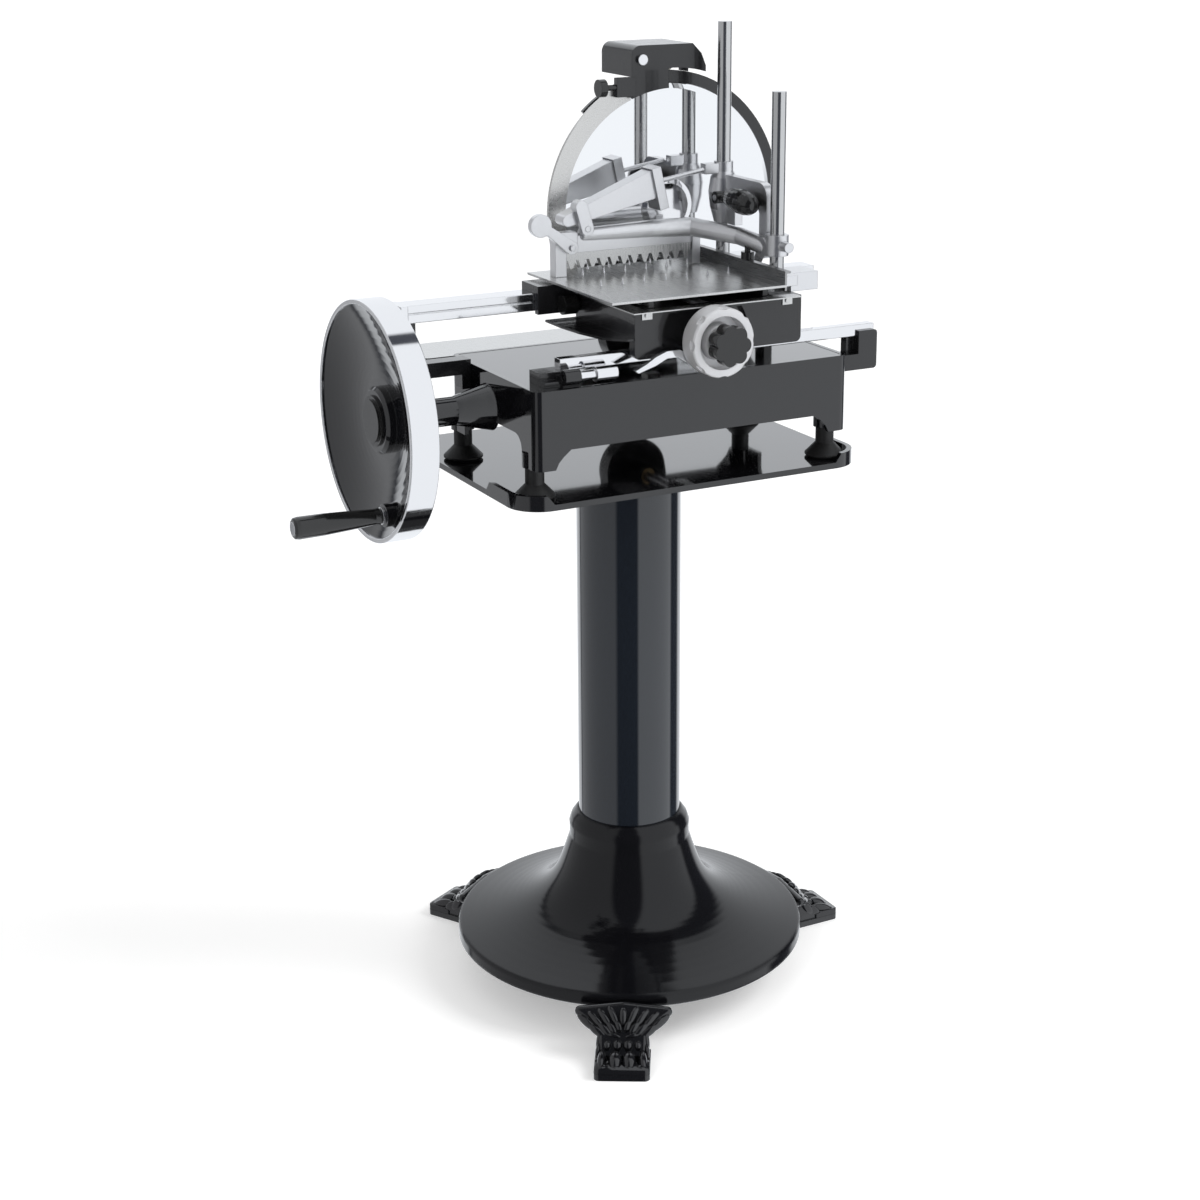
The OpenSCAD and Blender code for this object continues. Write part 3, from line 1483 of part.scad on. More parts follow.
// Slider: bulging sleeve on the tall post, an arched plate and a collar on the short post
sleeve_low = 54;
sleeve_h = 84;
sleeve_r = 21;
sleeve_shares = [[0.64, 1], [0.64, 0.84], [0.86, 0.74], [1, 0.5], [0.9, 0.26], [0.62, 0]];
sleeve_z = table_z + sleeve_low;
plate_x = [160, 172];
arch_top = 121;
arch_thick = 18;
arch_out = -97;
arch_low = 40;
arch_r = 20;
hole_y = [-78, -14];
hole_z = [46, 86];
hole_r = 8;
short_collar_z = [28, 56];
short_collar_r = 16;
boss_y = -99;
boss_rise = 37;
boss_r = 15;
boss_x = [150, 174];
cap_knob_r = 7;
cap_knob_y = [-146, -129];
rod_ear_x = [133, 156];
rod_ear_rise = [122, 136];
rod_ear_half = 7;
grip_pin_at = [-2, 93];
grip_pin_r = 4;
grip_x = [134.5, 148.5];
window_z = [72, 86];

module clamp_slider() {
  color([0.82, 0.82, 0.83]) placed() difference() {
    union() {
      translate([post_x, tall_y, sleeve_z]) rotate_extrude() polygon(concat([[0, sleeve_h]],
        [for (s = sleeve_shares) [sleeve_r * s[0], sleeve_h * s[1]]], [[0, 0]]));
      difference() {
        face_x(plate_x) rounded([arch_out, tall_y], [table_z + arch_low, table_z + arch_top],
          arch_r);
        face_x([plate_x[0] - over, plate_x[1] + over])
          rounded(hole_y, [table_z + hole_z[0], table_z + hole_z[1]], hole_r);
        box([plate_x[0] - over, plate_x[1] + over], [hole_y[0], tall_y - sleeve_r],
          [table_z, table_z + hole_z[0] + hole_r]);
      }
      rod_z(short_collar_r, [table_z + short_collar_z[0], table_z + short_collar_z[1]],
        post_x, short_y);
      rod_x(boss_r, boss_x, boss_y, table_z + boss_rise);
      rod_y(cap_knob_r, cap_knob_y, post_x, table_z + mid(short_collar_z));
      box(rod_ear_x, [tall_y - rod_ear_half, tall_y + rod_ear_half],
        [table_z + rod_ear_rise[0], table_z + rod_ear_rise[1]]);
      rod_x(grip_pin_r, [grip_x[0] - over, plate_x[0] + over], grip_pin_at[0],
        table_z + grip_pin_at[1]);
    }
    for (y = [tall_y, short_y])
      rod_z(post_r + run_gap, [table_z, table_z + sleeve_low + sleeve_h + over], post_x, y);
    box([post_x - sleeve_r - over, post_x], [tall_y - post_r, tall_y + post_r / 2],
      [table_z + window_z[0], table_z + window_z[1]]);
  }
}

// Egg-shaped lever that clamps the slider: shares of its length and greatest radius
egg_len = 70;
egg_r = 17;
egg_from = 22;
egg_shares = [[0, 0], [0.42, 0], [0.6, 0.06], [0.77, 0.16], [0.92, 0.32], [0.99, 0.48],
  [1, 0.58], [0.96, 0.72], [0.86, 0.84], [0.66, 0.94], [0.36, 0.99], [0, 1]];
egg_eye_r = 8.5;
egg_stem_r = 5;
egg_rise = 6;
egg_tilt = 4;

module lock_grip() {
  at = [mid(grip_x), grip_pin_at[0], table_z + grip_pin_at[1]];
  color([0.04, 0.04, 0.04]) placed() difference() {
    union() {
      translate(at) rotate([90 + egg_tilt, 0, 0]) {
        translate([0, egg_rise, egg_from]) rotate_extrude()
          polygon([for (s = egg_shares) [egg_r * s[0], egg_len * s[1]]]);
        cylinder(r = egg_stem_r, h = egg_from + egg_r);
      }
      rod_x(egg_eye_r, grip_x, at[1], at[2]);
    }
    rod_x(grip_pin_r + run_gap, [grip_x[0] - 2 * over, grip_x[1] + 2 * over], at[1], at[2]);
  }
}

// Arm from the boss round to the comb, its foot and the block at its left end
arm_lumps = [[[-58, 20], 54, 9], [[44, 20], 54, 12], [[106, 14], 53, 13],
  [[146, -50], 46, 12], [[160, -99], 37, 12]];
arm_block_x = [-104, -70];
arm_block_z = [32, 60];
arm_half = 8;
foot_leg_x = [-104, -87];
right_leg_x = [108, 120];
right_leg_z = [1.5, 34];
tee_at = [146, -72];
tee_stem_r = 4;
comb_x = [-86, 107];
comb_z = [10, 32];
comb_half = 5;
comb_teeth = 12;
comb_gap_share = 0.4;
comb_tooth_h = 11;
lever_pin_at = [-83, 40];
lever_pin_r = 4;
press_pin_at = [-60.5, 64];
press_pin_r = 4;
press_gap = 12.5;

module lump(a) {
  translate([a[0][0], a[0][1], table_z + a[1]]) sphere(r = a[2], $fn = 24);
}

module clamp_arm() {
  ys = [arm_y - arm_half, arm_y + arm_half];
  color([0.82, 0.82, 0.83]) placed() difference() {
    union() {
      for (i = [0 : len(arm_lumps) - 2]) hull() {
        lump(arm_lumps[i]);
        lump(arm_lumps[i + 1]);
      }
      face_y(ys) rounded(arm_block_x, [table_z + arm_block_z[0], table_z + arm_block_z[1]],
        arm_half / 2);
      box(foot_leg_x, ys, [table_z + seat_gap, table_z + arm_block_z[1] - arm_half]);
      box([comb_x[0] - over, comb_x[1] + over], [arm_y - comb_half, arm_y + comb_half],
        [table_z + comb_z[1] - over, table_z + arm_lumps[0][1]]);
      box(right_leg_x, ys, [table_z + right_leg_z[0], table_z + arm_lumps[1][1]]);
      rod_y(lever_pin_r, [ys[0] - press_gap, ys[0] + over], lever_pin_at[0],
        table_z + lever_pin_at[1]);
      rod_y(press_pin_r, [ys[0] - press_gap, ys[0] + arm_half], press_pin_at[0],
        table_z + press_pin_at[1]);
    }
    rod_z(tee_stem_r + run_gap, [table_z, table_z + arm_lumps[3][1]], tee_at[0], tee_at[1]);
    rod_x(boss_r + run_gap, [boss_x[0] - run_gap, boss_x[1] + over], boss_y, table_z + boss_rise);
    rod_z(short_collar_r + run_gap, [table_z, table_z + short_collar_z[1] + over],
      post_x, short_y);
    box([plate_x[0] - run_gap, plate_x[1] + over], [arch_out - over, hole_y[0] + run_gap],
      [table_z + arch_low - run_gap, table_z + arch_top]);
  }
}

// Round thumb lever at the arm's left end
thumb_at = [-128.5, 73];
thumb_r = 15.5;
thumb_t = 9;
thumb_arm_r = 6;
thumb_eye_r = 9;

module thumb_lever() {
  y = [arm_y - arm_half - seat_gap - thumb_t, arm_y - arm_half - seat_gap];
  color([0.84, 0.84, 0.85]) placed() difference() {
    union() {
      rod_y(thumb_r, y, thumb_at[0], table_z + thumb_at[1]);
      hull() {
        rod_y(thumb_arm_r, y, thumb_at[0] + thumb_r - thumb_arm_r, table_z + thumb_at[1]
          - thumb_arm_r, $fn = 24);
        rod_y(thumb_eye_r, y, lever_pin_at[0], table_z + lever_pin_at[1], $fn = 24);
      }
      rod_y(thumb_eye_r, y, lever_pin_at[0], table_z + lever_pin_at[1]);
    }
    rod_y(lever_pin_r + run_gap, [y[0] - over, y[1] + over], lever_pin_at[0],
      table_z + lever_pin_at[1]);
  }
}

// Press plate that tapers from its barrel to a tall end block, with its rod
press_left = [-86, 76];
press_left_r = 8;
press_right_x = 44;
press_right_z = [100, 132];
press_corner_r = 4;
press_y = [8, 32];
press_block_x = [46, 60];
press_block_h = 58;
press_block_z = 110;
press_lean = 13;
press_rod_r = 3.2;
press_rod_from = [54, 117];
press_rod_to = [129, 129];
strap_t = 8;
strap_r = 9;

module press_plate() {
  strap_y = [press_y[0] - strap_t - seat_gap, press_y[0] - seat_gap];
  rod = press_rod_to - press_rod_from;
  color([0.84, 0.84, 0.85]) placed() difference() {
    union() {
      hull() {
        rod_y(press_left_r, press_y, press_left[0], table_z + press_left[1], $fn = 24);
        for (z = press_right_z)
          rod_y(press_corner_r, press_y, press_right_x, table_z + z, $fn = 24);
      }
      translate([mid(press_block_x), mid(press_y), table_z + press_block_z])
        rotate([0, -press_lean, 0]) cube([press_block_x[1] - press_block_x[0],
          press_y[1] - press_y[0] + strap_t, press_block_h], center = true);
      translate([press_rod_from[0], arm_y, table_z + press_rod_from[1]])
        rotate([0, atan2(rod[0], rod[1]), 0]) cylinder(r = press_rod_r, h = norm(rod));
      hull() {
        rod_y(strap_r, strap_y, press_pin_at[0], table_z + press_pin_at[1], $fn = 24);
        rod_y(strap_r, strap_y, press_pin_at[0] - strap_r, table_z + press_left[1] + 2 * strap_r,
          $fn = 24);
      }
      rod_y(strap_r, [strap_y[0], press_y[0] + strap_t], press_pin_at[0] - strap_r,
        table_z + press_left[1] + 2 * strap_r);
      rod_y(strap_r, strap_y, press_pin_at[0], table_z + press_pin_at[1]);
    }
    rod_y(press_pin_r + run_gap, [strap_y[0] - over, strap_y[1] + seat_gap], press_pin_at[0],
      table_z + press_pin_at[1]);
  }
}

module gripper_comb() {
  pitch = (comb_x[1] - comb_x[0]) / comb_teeth;
  color([0.8, 0.8, 0.8]) placed() face_y([arm_y - comb_half, arm_y + comb_half]) difference() {
    translate([comb_x[0], table_z + comb_z[0]])
      square([comb_x[1] - comb_x[0], comb_z[1] - comb_z[0] - over]);
    for (i = [0 : comb_teeth]) translate([comb_x[0] + i * pitch, table_z + comb_z[0]])
      polygon([[-pitch * comb_gap_share, -over], [-pitch * comb_gap_share / 3, comb_tooth_h],
        [pitch * comb_gap_share / 3, comb_tooth_h], [pitch * comb_gap_share, -over]]);
  }
}

tee_r = 9;
tee_z = [17.4, 28];
tee_in = 6;

module tee_knob() {
  color([0.05, 0.05, 0.05]) placed() {
    rod_z(tee_r, [table_z + tee_z[0], table_z + tee_z[1]], tee_at[0], tee_at[1]);
    rod_z(tee_stem_r, [table_z + tee_z[1] - over, table_z + arm_lumps[3][1] - tee_in],
      tee_at[0], tee_at[1]);
  }
}

pedestal_base();
paw_feet();
column_tube();
tie_rod();
top_flange();
tray();
stand_screws();
rubber_feet();
base_casting();
base_top_plate();
receiving_plate();
bearings();
rail_brackets();
carriage_rail();
front_bar();
front_bar_bracket();
flywheel_disc();
flywheel_rim();
hub_cap();
flywheel_shaft();
handle_spindle();
handle_grip();
crank_shaft();
rocker_lever();
cross_shaft();
lower_idler();
upper_idler();
blade_shaft();
blade();
gear_case();
gear_case_cover();
guard_ring();
guard_band();
guard_knob();
sharpener_cover();
sharpener_button();
sharpener_stones();
carriage_body();
carriage_slider();
side_knob();
ledge_plate();
thickness_dial();
feed_knob();
feed_screw();
release_lever();
lock_block();
lock_plunger();
lock_spring();
table_plate();
table_spikes();
fence();
post_block();
guide_posts();
clamp_slider();
lock_grip();
clamp_arm();
thumb_lever();
press_plate();
gripper_comb();
tee_knob();
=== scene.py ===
import math

import bmesh
import bpy
from mathutils import Matrix, Vector


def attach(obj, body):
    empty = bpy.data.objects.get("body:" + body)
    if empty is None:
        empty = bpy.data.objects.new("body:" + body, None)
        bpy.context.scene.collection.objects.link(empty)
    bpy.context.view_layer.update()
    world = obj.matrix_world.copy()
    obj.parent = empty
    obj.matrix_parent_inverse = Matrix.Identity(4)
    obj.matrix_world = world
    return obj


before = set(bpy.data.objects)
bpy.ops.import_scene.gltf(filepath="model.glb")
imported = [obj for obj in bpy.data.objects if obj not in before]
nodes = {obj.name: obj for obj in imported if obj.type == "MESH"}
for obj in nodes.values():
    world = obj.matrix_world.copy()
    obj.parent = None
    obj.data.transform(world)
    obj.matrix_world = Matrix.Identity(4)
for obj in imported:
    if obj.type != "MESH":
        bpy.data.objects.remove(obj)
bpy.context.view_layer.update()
stand_x = 0.0925
full_turn = math.tau
speck_pale = 0.35
coat_smooth = 0.04
grain_dark = 0.86
grain_deep = 0.0002

# --- Pedestal enamel --------------------------------------------------------------
# The foot, paws, table plate and machine base are cast iron under thick black stove
# enamel: a deep gloss that flows a little, with fine dust in the flat places.
flow = bpy.data.node_groups.new("enamel_flow", "ShaderNodeTree")
for label, low in (("Scale", 1.0), ("Smooth", 0.08), ("Rough", 0.2), ("Dust", 0.1)):
    flow.interface.new_socket(label, in_out="INPUT", socket_type="NodeSocketFloat")
    flow.interface.items_tree[label].default_value = low
flow.interface.new_socket("Roughness", in_out="OUTPUT", socket_type="NodeSocketFloat")
flow.interface.new_socket("Height", in_out="OUTPUT", socket_type="NodeSocketFloat")
flow.interface.new_socket("Specks", in_out="OUTPUT", socket_type="NodeSocketFloat")
inside, outside = flow.nodes.new("NodeGroupInput"), flow.nodes.new("NodeGroupOutput")
place = flow.nodes.new("ShaderNodeTexCoord")
wave = flow.nodes.new("ShaderNodeTexNoise")
wave.inputs["Detail"].default_value = 3
fine = flow.nodes.new("ShaderNodeTexNoise")
fine.inputs["Scale"].default_value = 900
fine.inputs["Detail"].default_value = 2
spread = flow.nodes.new("ShaderNodeMapRange")
speck = flow.nodes.new("ShaderNodeMapRange")
speck.inputs["From Min"].default_value = 0.62
speck.inputs["From Max"].default_value = 0.8
flow.links.new(place.outputs["Object"], wave.inputs["Vector"])
flow.links.new(place.outputs["Object"], fine.inputs["Vector"])
flow.links.new(inside.outputs["Scale"], wave.inputs["Scale"])
flow.links.new(wave.outputs["Fac"], spread.inputs["Value"])
flow.links.new(inside.outputs["Smooth"], spread.inputs["To Min"])
flow.links.new(inside.outputs["Rough"], spread.inputs["To Max"])
flow.links.new(fine.outputs["Fac"], speck.inputs["Value"])
flow.links.new(inside.outputs["Dust"], speck.inputs["To Max"])
flow.links.new(spread.outputs["Result"], outside.inputs["Roughness"])
flow.links.new(wave.outputs["Fac"], outside.inputs["Height"])
flow.links.new(speck.outputs["Result"], outside.inputs["Specks"])


def finish(name, color, metal, scale, smooth, rough, dust, bump, coat=0.0, depth=0.001,
           edge=0.0015):
    """A material whose gloss, height and dust come from the flow group."""
    m = bpy.data.materials.new(name)
    m.use_nodes = True
    t = m.node_tree
    shader = t.nodes["Principled BSDF"]
    g = t.nodes.new("ShaderNodeGroup")
    g.node_tree = flow
    for label, value in zip(("Scale", "Smooth", "Rough", "Dust"), (scale, smooth, rough, dust)):
        g.inputs[label].default_value = value
    tint = t.nodes.new("ShaderNodeMix")
    tint.data_type = "RGBA"
    tint.inputs["A"].default_value = (*color, 1)
    tint.inputs["B"].default_value = (*[c + (0.5 - c) * speck_pale for c in color], 1)
    t.links.new(g.outputs["Specks"], tint.inputs["Factor"])
    t.links.new(tint.outputs["Result"], shader.inputs["Base Color"])
    t.links.new(g.outputs["Roughness"], shader.inputs["Roughness"])
    relief = t.nodes.new("ShaderNodeBump")
    relief.inputs["Strength"].default_value = bump
    relief.inputs["Distance"].default_value = depth
    t.links.new(g.outputs["Height"], relief.inputs["Height"])
    soft = t.nodes.new("ShaderNodeBevel")
    soft.inputs["Radius"].default_value = edge
    t.links.new(soft.outputs["Normal"], relief.inputs["Normal"])
    t.links.new(relief.outputs["Normal"], shader.inputs["Normal"])
    shader.inputs["Metallic"].default_value = metal
    shader.inputs["Coat Weight"].default_value = coat
    shader.inputs["Coat Roughness"].default_value = coat_smooth
    return m


def dress(material, *names):
    """Gives CAD nodes one material in every slot."""
    for name in names:
        mesh = nodes[name].data
        if not mesh.materials:
            mesh.materials.append(material)
        for i in range(len(mesh.materials)):
            mesh.materials[i] = material


stove_enamel = finish("stove_enamel", (0.005, 0.005, 0.006), 0.0, 9, 0.05, 0.12, 0.04, 0.12,
                      coat=0.7)
dress(stove_enamel, "tray", "base_casting", "top_flange", "flywheel_disc", "base_top_plate")
foot_enamel = finish("foot_enamel", (0.004, 0.004, 0.005), 0.0, 7, 0.07, 0.14, 0.03, 0.08,
                     edge=0.006)
foot_shader = foot_enamel.node_tree.nodes["Principled BSDF"]
foot_shader.inputs["Specular IOR Level"].default_value = 0.4
dress(foot_enamel, "pedestal_base")
paw_enamel = finish("paw_enamel", (0.005, 0.005, 0.006), 0.0, 40, 0.08, 0.18, 0.05, 0.1,
                    coat=0.6)
dress(paw_enamel, "paw_feet")

# --- Carving of the paws --------------------------------------------------------------
# Each foot is cast with a leaf that fans out under the rim, a row of knuckles, four toes
# and a plain plinth, all in one casting and enamelled with it.
paw_z = Vector((0, 0, 1))
paw_mesh = bpy.data.meshes.new("paw_carving")
b = bmesh.new()
paw_turns = (0, 120, 240)
plinth_size = (0.0425, 0.0748, 0.0165)
plinth_at = (0.3233, 0, 0.0083)
plinth_corner = 0.0068
strands = 4
strand_width, strand_root_width, strand_thick = 0.0100, 0.0085, 0.0125
strand_from = 0.2860
# The lobes of one side: start, end, width and thickness, measured from the stand's axis
side_lobes = (
    ((0.3010, 0.0335, 0.0160), (0.2800, 0.0300, 0.0420), 0.0095, 0.0150),
    ((0.3120, 0.0345, 0.0130), (0.2960, 0.0320, 0.0290), 0.0075, 0.0140),
    ((0.3385, 0.0098, 0.0120), (0.3095, 0.0092, 0.0245), 0.0186, 0.0190),
    ((0.3390, 0.0292, 0.0115), (0.3050, 0.0270, 0.0245), 0.0115, 0.0165),
    ((0.3080, 0.0072, 0.0240), (0.2950, 0.0070, 0.0340), 0.0140, 0.0150),
    ((0.3070, 0.0210, 0.0240), (0.2950, 0.0205, 0.0330), 0.0105, 0.0135),
    ((0.2935, 0.0030, 0.0370), (0.2890, 0.0240, 0.0400), 0.0060, 0.0070),
)
middle_lobe = ((0.2860, 0, 0.0500), (0.2700, 0, 0.0690), 0.0115, 0.0110)


def lobe(b, start, end, width, thick, turn):
    """A pointed lobe of the leaf from start to end, turned about the stand's axis."""
    start, end = Vector(start), Vector(end)
    along = (end - start).normalized()
    side = along.cross(paw_z).normalized()
    face = side.cross(along)
    made = bmesh.ops.create_uvsphere(b, u_segments=20, v_segments=12, radius=1)["verts"]
    size = Matrix.Diagonal((width / 2, thick / 2, (end - start).length / 2, 1))
    axes = Matrix((side, face, along)).transposed().to_4x4()
    at = Matrix.Translation((start + end) / 2)
    bmesh.ops.transform(b, matrix=turn @ at @ axes @ size, verts=made)


def mirrored_at(point, side):
    """The point on the given side of the paw, -1 or 1."""
    return point[0], side * point[1], point[2]


for angle in paw_turns:
    stand = Matrix.Translation((stand_x, 0, 0)) @ Matrix.Rotation(math.radians(angle), 4, "Z")
    plinth = bmesh.ops.create_cube(b, size=1)["verts"]
    shape = Matrix.Translation(plinth_at) @ Matrix.Diagonal((*plinth_size, 1))
    bmesh.ops.transform(b, matrix=stand @ shape, verts=plinth)
    own = set(plinth)
    upright = [e for e in b.edges if own.issuperset(e.verts)
               and abs(e.verts[0].co.z - e.verts[1].co.z) > plinth_size[2] / 2]
    bmesh.ops.bevel(b, geom=upright, offset=plinth_corner, offset_type="OFFSET",
                    affect="EDGES", segments=5, profile=0.5, material=-1)
    for side in (-1, 1):
        for i in range(strands):
            root = (0.2905, side * (0.0030 + 0.0065 * i), 0.0430 - 0.0030 * i)
            bend = (0.2815, side * (0.0105 + 0.0120 * i), 0.0555 - 0.0025 * i)
            tip = (0.2665, side * (0.0205 + 0.0142 * i), 0.0690 - 0.0042 * i)
            middle = (strand_from, (root[1] + bend[1]) / 2, (root[2] + bend[2]) / 2)
            lobe(b, root, bend, strand_root_width, strand_thick, stand)
            lobe(b, middle, tip, strand_width, strand_thick, stand)
        for start, end, width, thick in side_lobes:
            lobe(b, mirrored_at(start, side), mirrored_at(end, side), width, thick, stand)
    lobe(b, *middle_lobe, stand)
b.to_mesh(paw_mesh)
b.free()
for face in paw_mesh.polygons:
    face.use_smooth = True
paw_carving = bpy.data.objects.new("paw_carving", paw_mesh)
bpy.context.scene.collection.objects.link(paw_carving)
paw_mesh.materials.append(paw_enamel)
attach(paw_carving, "frame")

# --- Column -----------------------------------------------------------------------
# A drawn steel tube in blue-black enamel, smoother than the castings, held between the
# foot and the top flange by the rod inside it.
column_enamel = finish("column_enamel", (0.007, 0.010, 0.015), 0.0, 5, 0.05, 0.1, 0.03, 0.05,
                       coat=0.8)
dress(column_enamel, "column_tube")

# --- Castings of the machine --------------------------------------------------------
# Gear case, brackets, carriage and sharpener cover are aluminium castings in the same
# black, sprayed thinner, so that the cast skin shows faintly through the gloss.
cast_black = finish("cast_black", (0.009, 0.009, 0.010), 0.0, 60, 0.14, 0.3, 0.08, 0.12,
                    coat=0.5)
dress(cast_black, "gear_case", "gear_case_cover", "rail_brackets", "front_bar_bracket",
      "carriage_body", "carriage_slider", "sharpener_cover", "lock_block", "guard_ring")

# --- Chrome -----------------------------------------------------------------------
# Wheel rim, rail, front bar and small bright parts are ground steel, plated and buffed.
chrome = finish("chrome_plate", (0.86, 0.86, 0.87), 1.0, 25, 0.04, 0.11, 0.03, 0.03)
dress(chrome, "flywheel_rim", "carriage_rail", "front_bar", "handle_spindle", "lock_plunger",
      "release_lever", "sharpener_button", "table_spikes", "stand_screws", "blade_shaft")

# --- Drawn and ground steel -----------------------------------------------------------
# Table, ledge, slice plate and guide posts are stainless, brushed one way, so that the
# grain is long along the stroke and fine across it.
grain = bpy.data.node_groups.new("brushed_grain", "ShaderNodeTree")
grain.interface.new_socket("Along", in_out="INPUT", socket_type="NodeSocketVector")
for label in ("Low", "High"):
    grain.interface.new_socket(label, in_out="INPUT", socket_type="NodeSocketFloat")
grain.interface.new_socket("Roughness", in_out="OUTPUT", socket_type="NodeSocketFloat")
grain.interface.new_socket("Height", in_out="OUTPUT", socket_type="NodeSocketFloat")
inside, outside = grain.nodes.new("NodeGroupInput"), grain.nodes.new("NodeGroupOutput")
place = grain.nodes.new("ShaderNodeTexCoord")
stretch = grain.nodes.new("ShaderNodeVectorMath")
stretch.operation = "MULTIPLY"
hair = grain.nodes.new("ShaderNodeTexNoise")
hair.inputs["Scale"].default_value = 1
hair.inputs["Detail"].default_value = 4
spread = grain.nodes.new("ShaderNodeMapRange")
spread.inputs["From Min"].default_value = 0.3
spread.inputs["From Max"].default_value = 0.7
grain.links.new(place.outputs["Object"], stretch.inputs[0])
grain.links.new(inside.outputs["Along"], stretch.inputs[1])
grain.links.new(stretch.outputs["Vector"], hair.inputs["Vector"])
grain.links.new(hair.outputs["Fac"], spread.inputs["Value"])
grain.links.new(inside.outputs["Low"], spread.inputs["To Min"])
grain.links.new(inside.outputs["High"], spread.inputs["To Max"])
grain.links.new(spread.outputs["Result"], outside.inputs["Roughness"])
grain.links.new(hair.outputs["Fac"], outside.inputs["Height"])


def brushed(name, color, along, low, high, bump):
    """Bare metal brushed or turned, its grain's scale given along X, Y and Z."""
    m = bpy.data.materials.new(name)
    m.use_nodes = True
    t = m.node_tree
    shader = t.nodes["Principled BSDF"]
    g = t.nodes.new("ShaderNodeGroup")
    g.node_tree = grain
    g.inputs["Along"].default_value = along
    g.inputs["Low"].default_value = low
    g.inputs["High"].default_value = high
    shade = t.nodes.new("ShaderNodeMapRange")
    shade.inputs["To Min"].default_value = 0
    tone = t.nodes.new("ShaderNodeMix")
    tone.data_type = "RGBA"
    tone.inputs["A"].default_value = (*[c * grain_dark for c in color], 1)
    tone.inputs["B"].default_value = (*color, 1)
    t.links.new(g.outputs["Height"], shade.inputs["Value"])
    t.links.new(shade.outputs["Result"], tone.inputs["Factor"])
    t.links.new(tone.outputs["Result"], shader.inputs["Base Color"])
    t.links.new(g.outputs["Roughness"], shader.inputs["Roughness"])
    relief = t.nodes.new("ShaderNodeBump")
    relief.inputs["Strength"].default_value = bump
    relief.inputs["Distance"].default_value = grain_deep
    t.links.new(g.outputs["Height"], relief.inputs["Height"])
    t.links.new(relief.outputs["Normal"], shader.inputs["Normal"])
    shader.inputs["Metallic"].default_value = 1.0
    return m


table_steel = brushed("table_steel", (0.72, 0.72, 0.71), (2500, 18, 18), 0.2, 0.36, 0.25)
dress(table_steel, "table_plate", "ledge_plate", "receiving_plate", "gripper_comb")
post_steel = brushed("post_steel", (0.66, 0.66, 0.66), (260, 260, 6), 0.13, 0.2, 0.03)
dress(post_steel, "guide_posts")
band_steel = brushed("band_steel", (0.74, 0.73, 0.71), (500, 60, 500), 0.24, 0.36, 0.15)
dress(band_steel, "guard_band")
fence_steel = brushed("fence_steel", (0.42, 0.42, 0.42), (900, 14, 900), 0.22, 0.4, 0.2)
dress(fence_steel, "fence")
shaft_steel = brushed("shaft_steel", (0.5, 0.5, 0.51), (400, 400, 60), 0.2, 0.4, 0.2)
dress(shaft_steel, "flywheel_shaft", "crank_shaft", "rocker_lever", "cross_shaft", "tie_rod",
      "feed_screw", "lock_spring")
gear_bronze = brushed("gear_bronze", (0.62, 0.45, 0.22), (300, 60, 300), 0.25, 0.45, 0.2)
dress(gear_bronze, "lower_idler", "upper_idler", "bearings")

# --- Blade ------------------------------------------------------------------------
# A chromed steel disc, hollow ground and mirror polished, with a bevel ground round its
# front edge.
blade_mirror = finish("blade_mirror", (0.93, 0.935, 0.94), 1.0, 12, 0.015, 0.05, 0.02, 0.02)
dress(blade_mirror, "blade")

# --- Polished aluminium -------------------------------------------------------------
# Clamp, arm, press plate and post block are sand-cast aluminium, tumbled bright. The dial is
# the same metal with a satin lacquer, which looks paler.
tumbled = finish("tumbled_aluminium", (0.8, 0.8, 0.81), 1.0, 240, 0.24, 0.42, 0.08, 0.2,
                 depth=0.0004)
dress(tumbled, "clamp_slider", "clamp_arm", "press_plate", "post_block", "thumb_lever")
satin = finish("satin_aluminium", (0.74, 0.74, 0.75), 0.55, 240, 0.36, 0.5, 0.06, 0.15,
               depth=0.0004)
dress(satin, "thickness_dial")

# --- Black plastic and rubber -----------------------------------------------------------
# Grips and knobs are glossy moulded phenolic, the machine's feet plain moulded rubber, and
# the stones are fine grey abrasive.
phenolic = finish("phenolic_black", (0.008, 0.008, 0.008), 0.0, 40, 0.1, 0.2, 0.05, 0.05,
                  coat=0.4)
dress(phenolic, "handle_grip", "hub_cap", "lock_grip", "feed_knob", "tee_knob", "side_knob",
      "guard_knob")
rubber = finish("foot_rubber", (0.012, 0.012, 0.012), 0.0, 120, 0.4, 0.6, 0.2, 0.3)
dress(rubber, "rubber_feet")
stone = finish("stone_grit", (0.3, 0.29, 0.27), 0.0, 900, 0.7, 0.9, 0.4, 0.8)
dress(stone, "sharpener_stones")

# --- Face of the dial --------------------------------------------------------------------
# The dial is deep: inside its scalloped rim the sunk face carries a turned collar round the
# knob's stem. The outline of the collar is in pairs of radius and y.
collar_outline = ((0.0158, -0.2042), (0.0158, -0.2125), (0.0172, -0.2142), (0.0204, -0.2142),
                  (0.0236, -0.2105), (0.0250, -0.2042))
dial_centre = (0.1135, 0, 0.976)
collar_steps = 72
flat_share = 0.9


def turned(b, profile, centre, steps):
    """Spins a closed outline of (radius, y) points about the Y axis through centre."""
    start = [b.verts.new((radius, y, 0)) for radius, y in profile]
    edges = [b.edges.new((start[i], start[(i + 1) % len(start)])) for i in range(len(start))]
    bmesh.ops.spin(b, geom=start + edges, cent=(0, 0, 0), axis=(0, 1, 0), angle=full_turn,
                   steps=steps, use_merge=True)
    bmesh.ops.translate(b, verts=b.verts[:], vec=centre)
    bmesh.ops.recalc_face_normals(b, faces=b.faces[:])


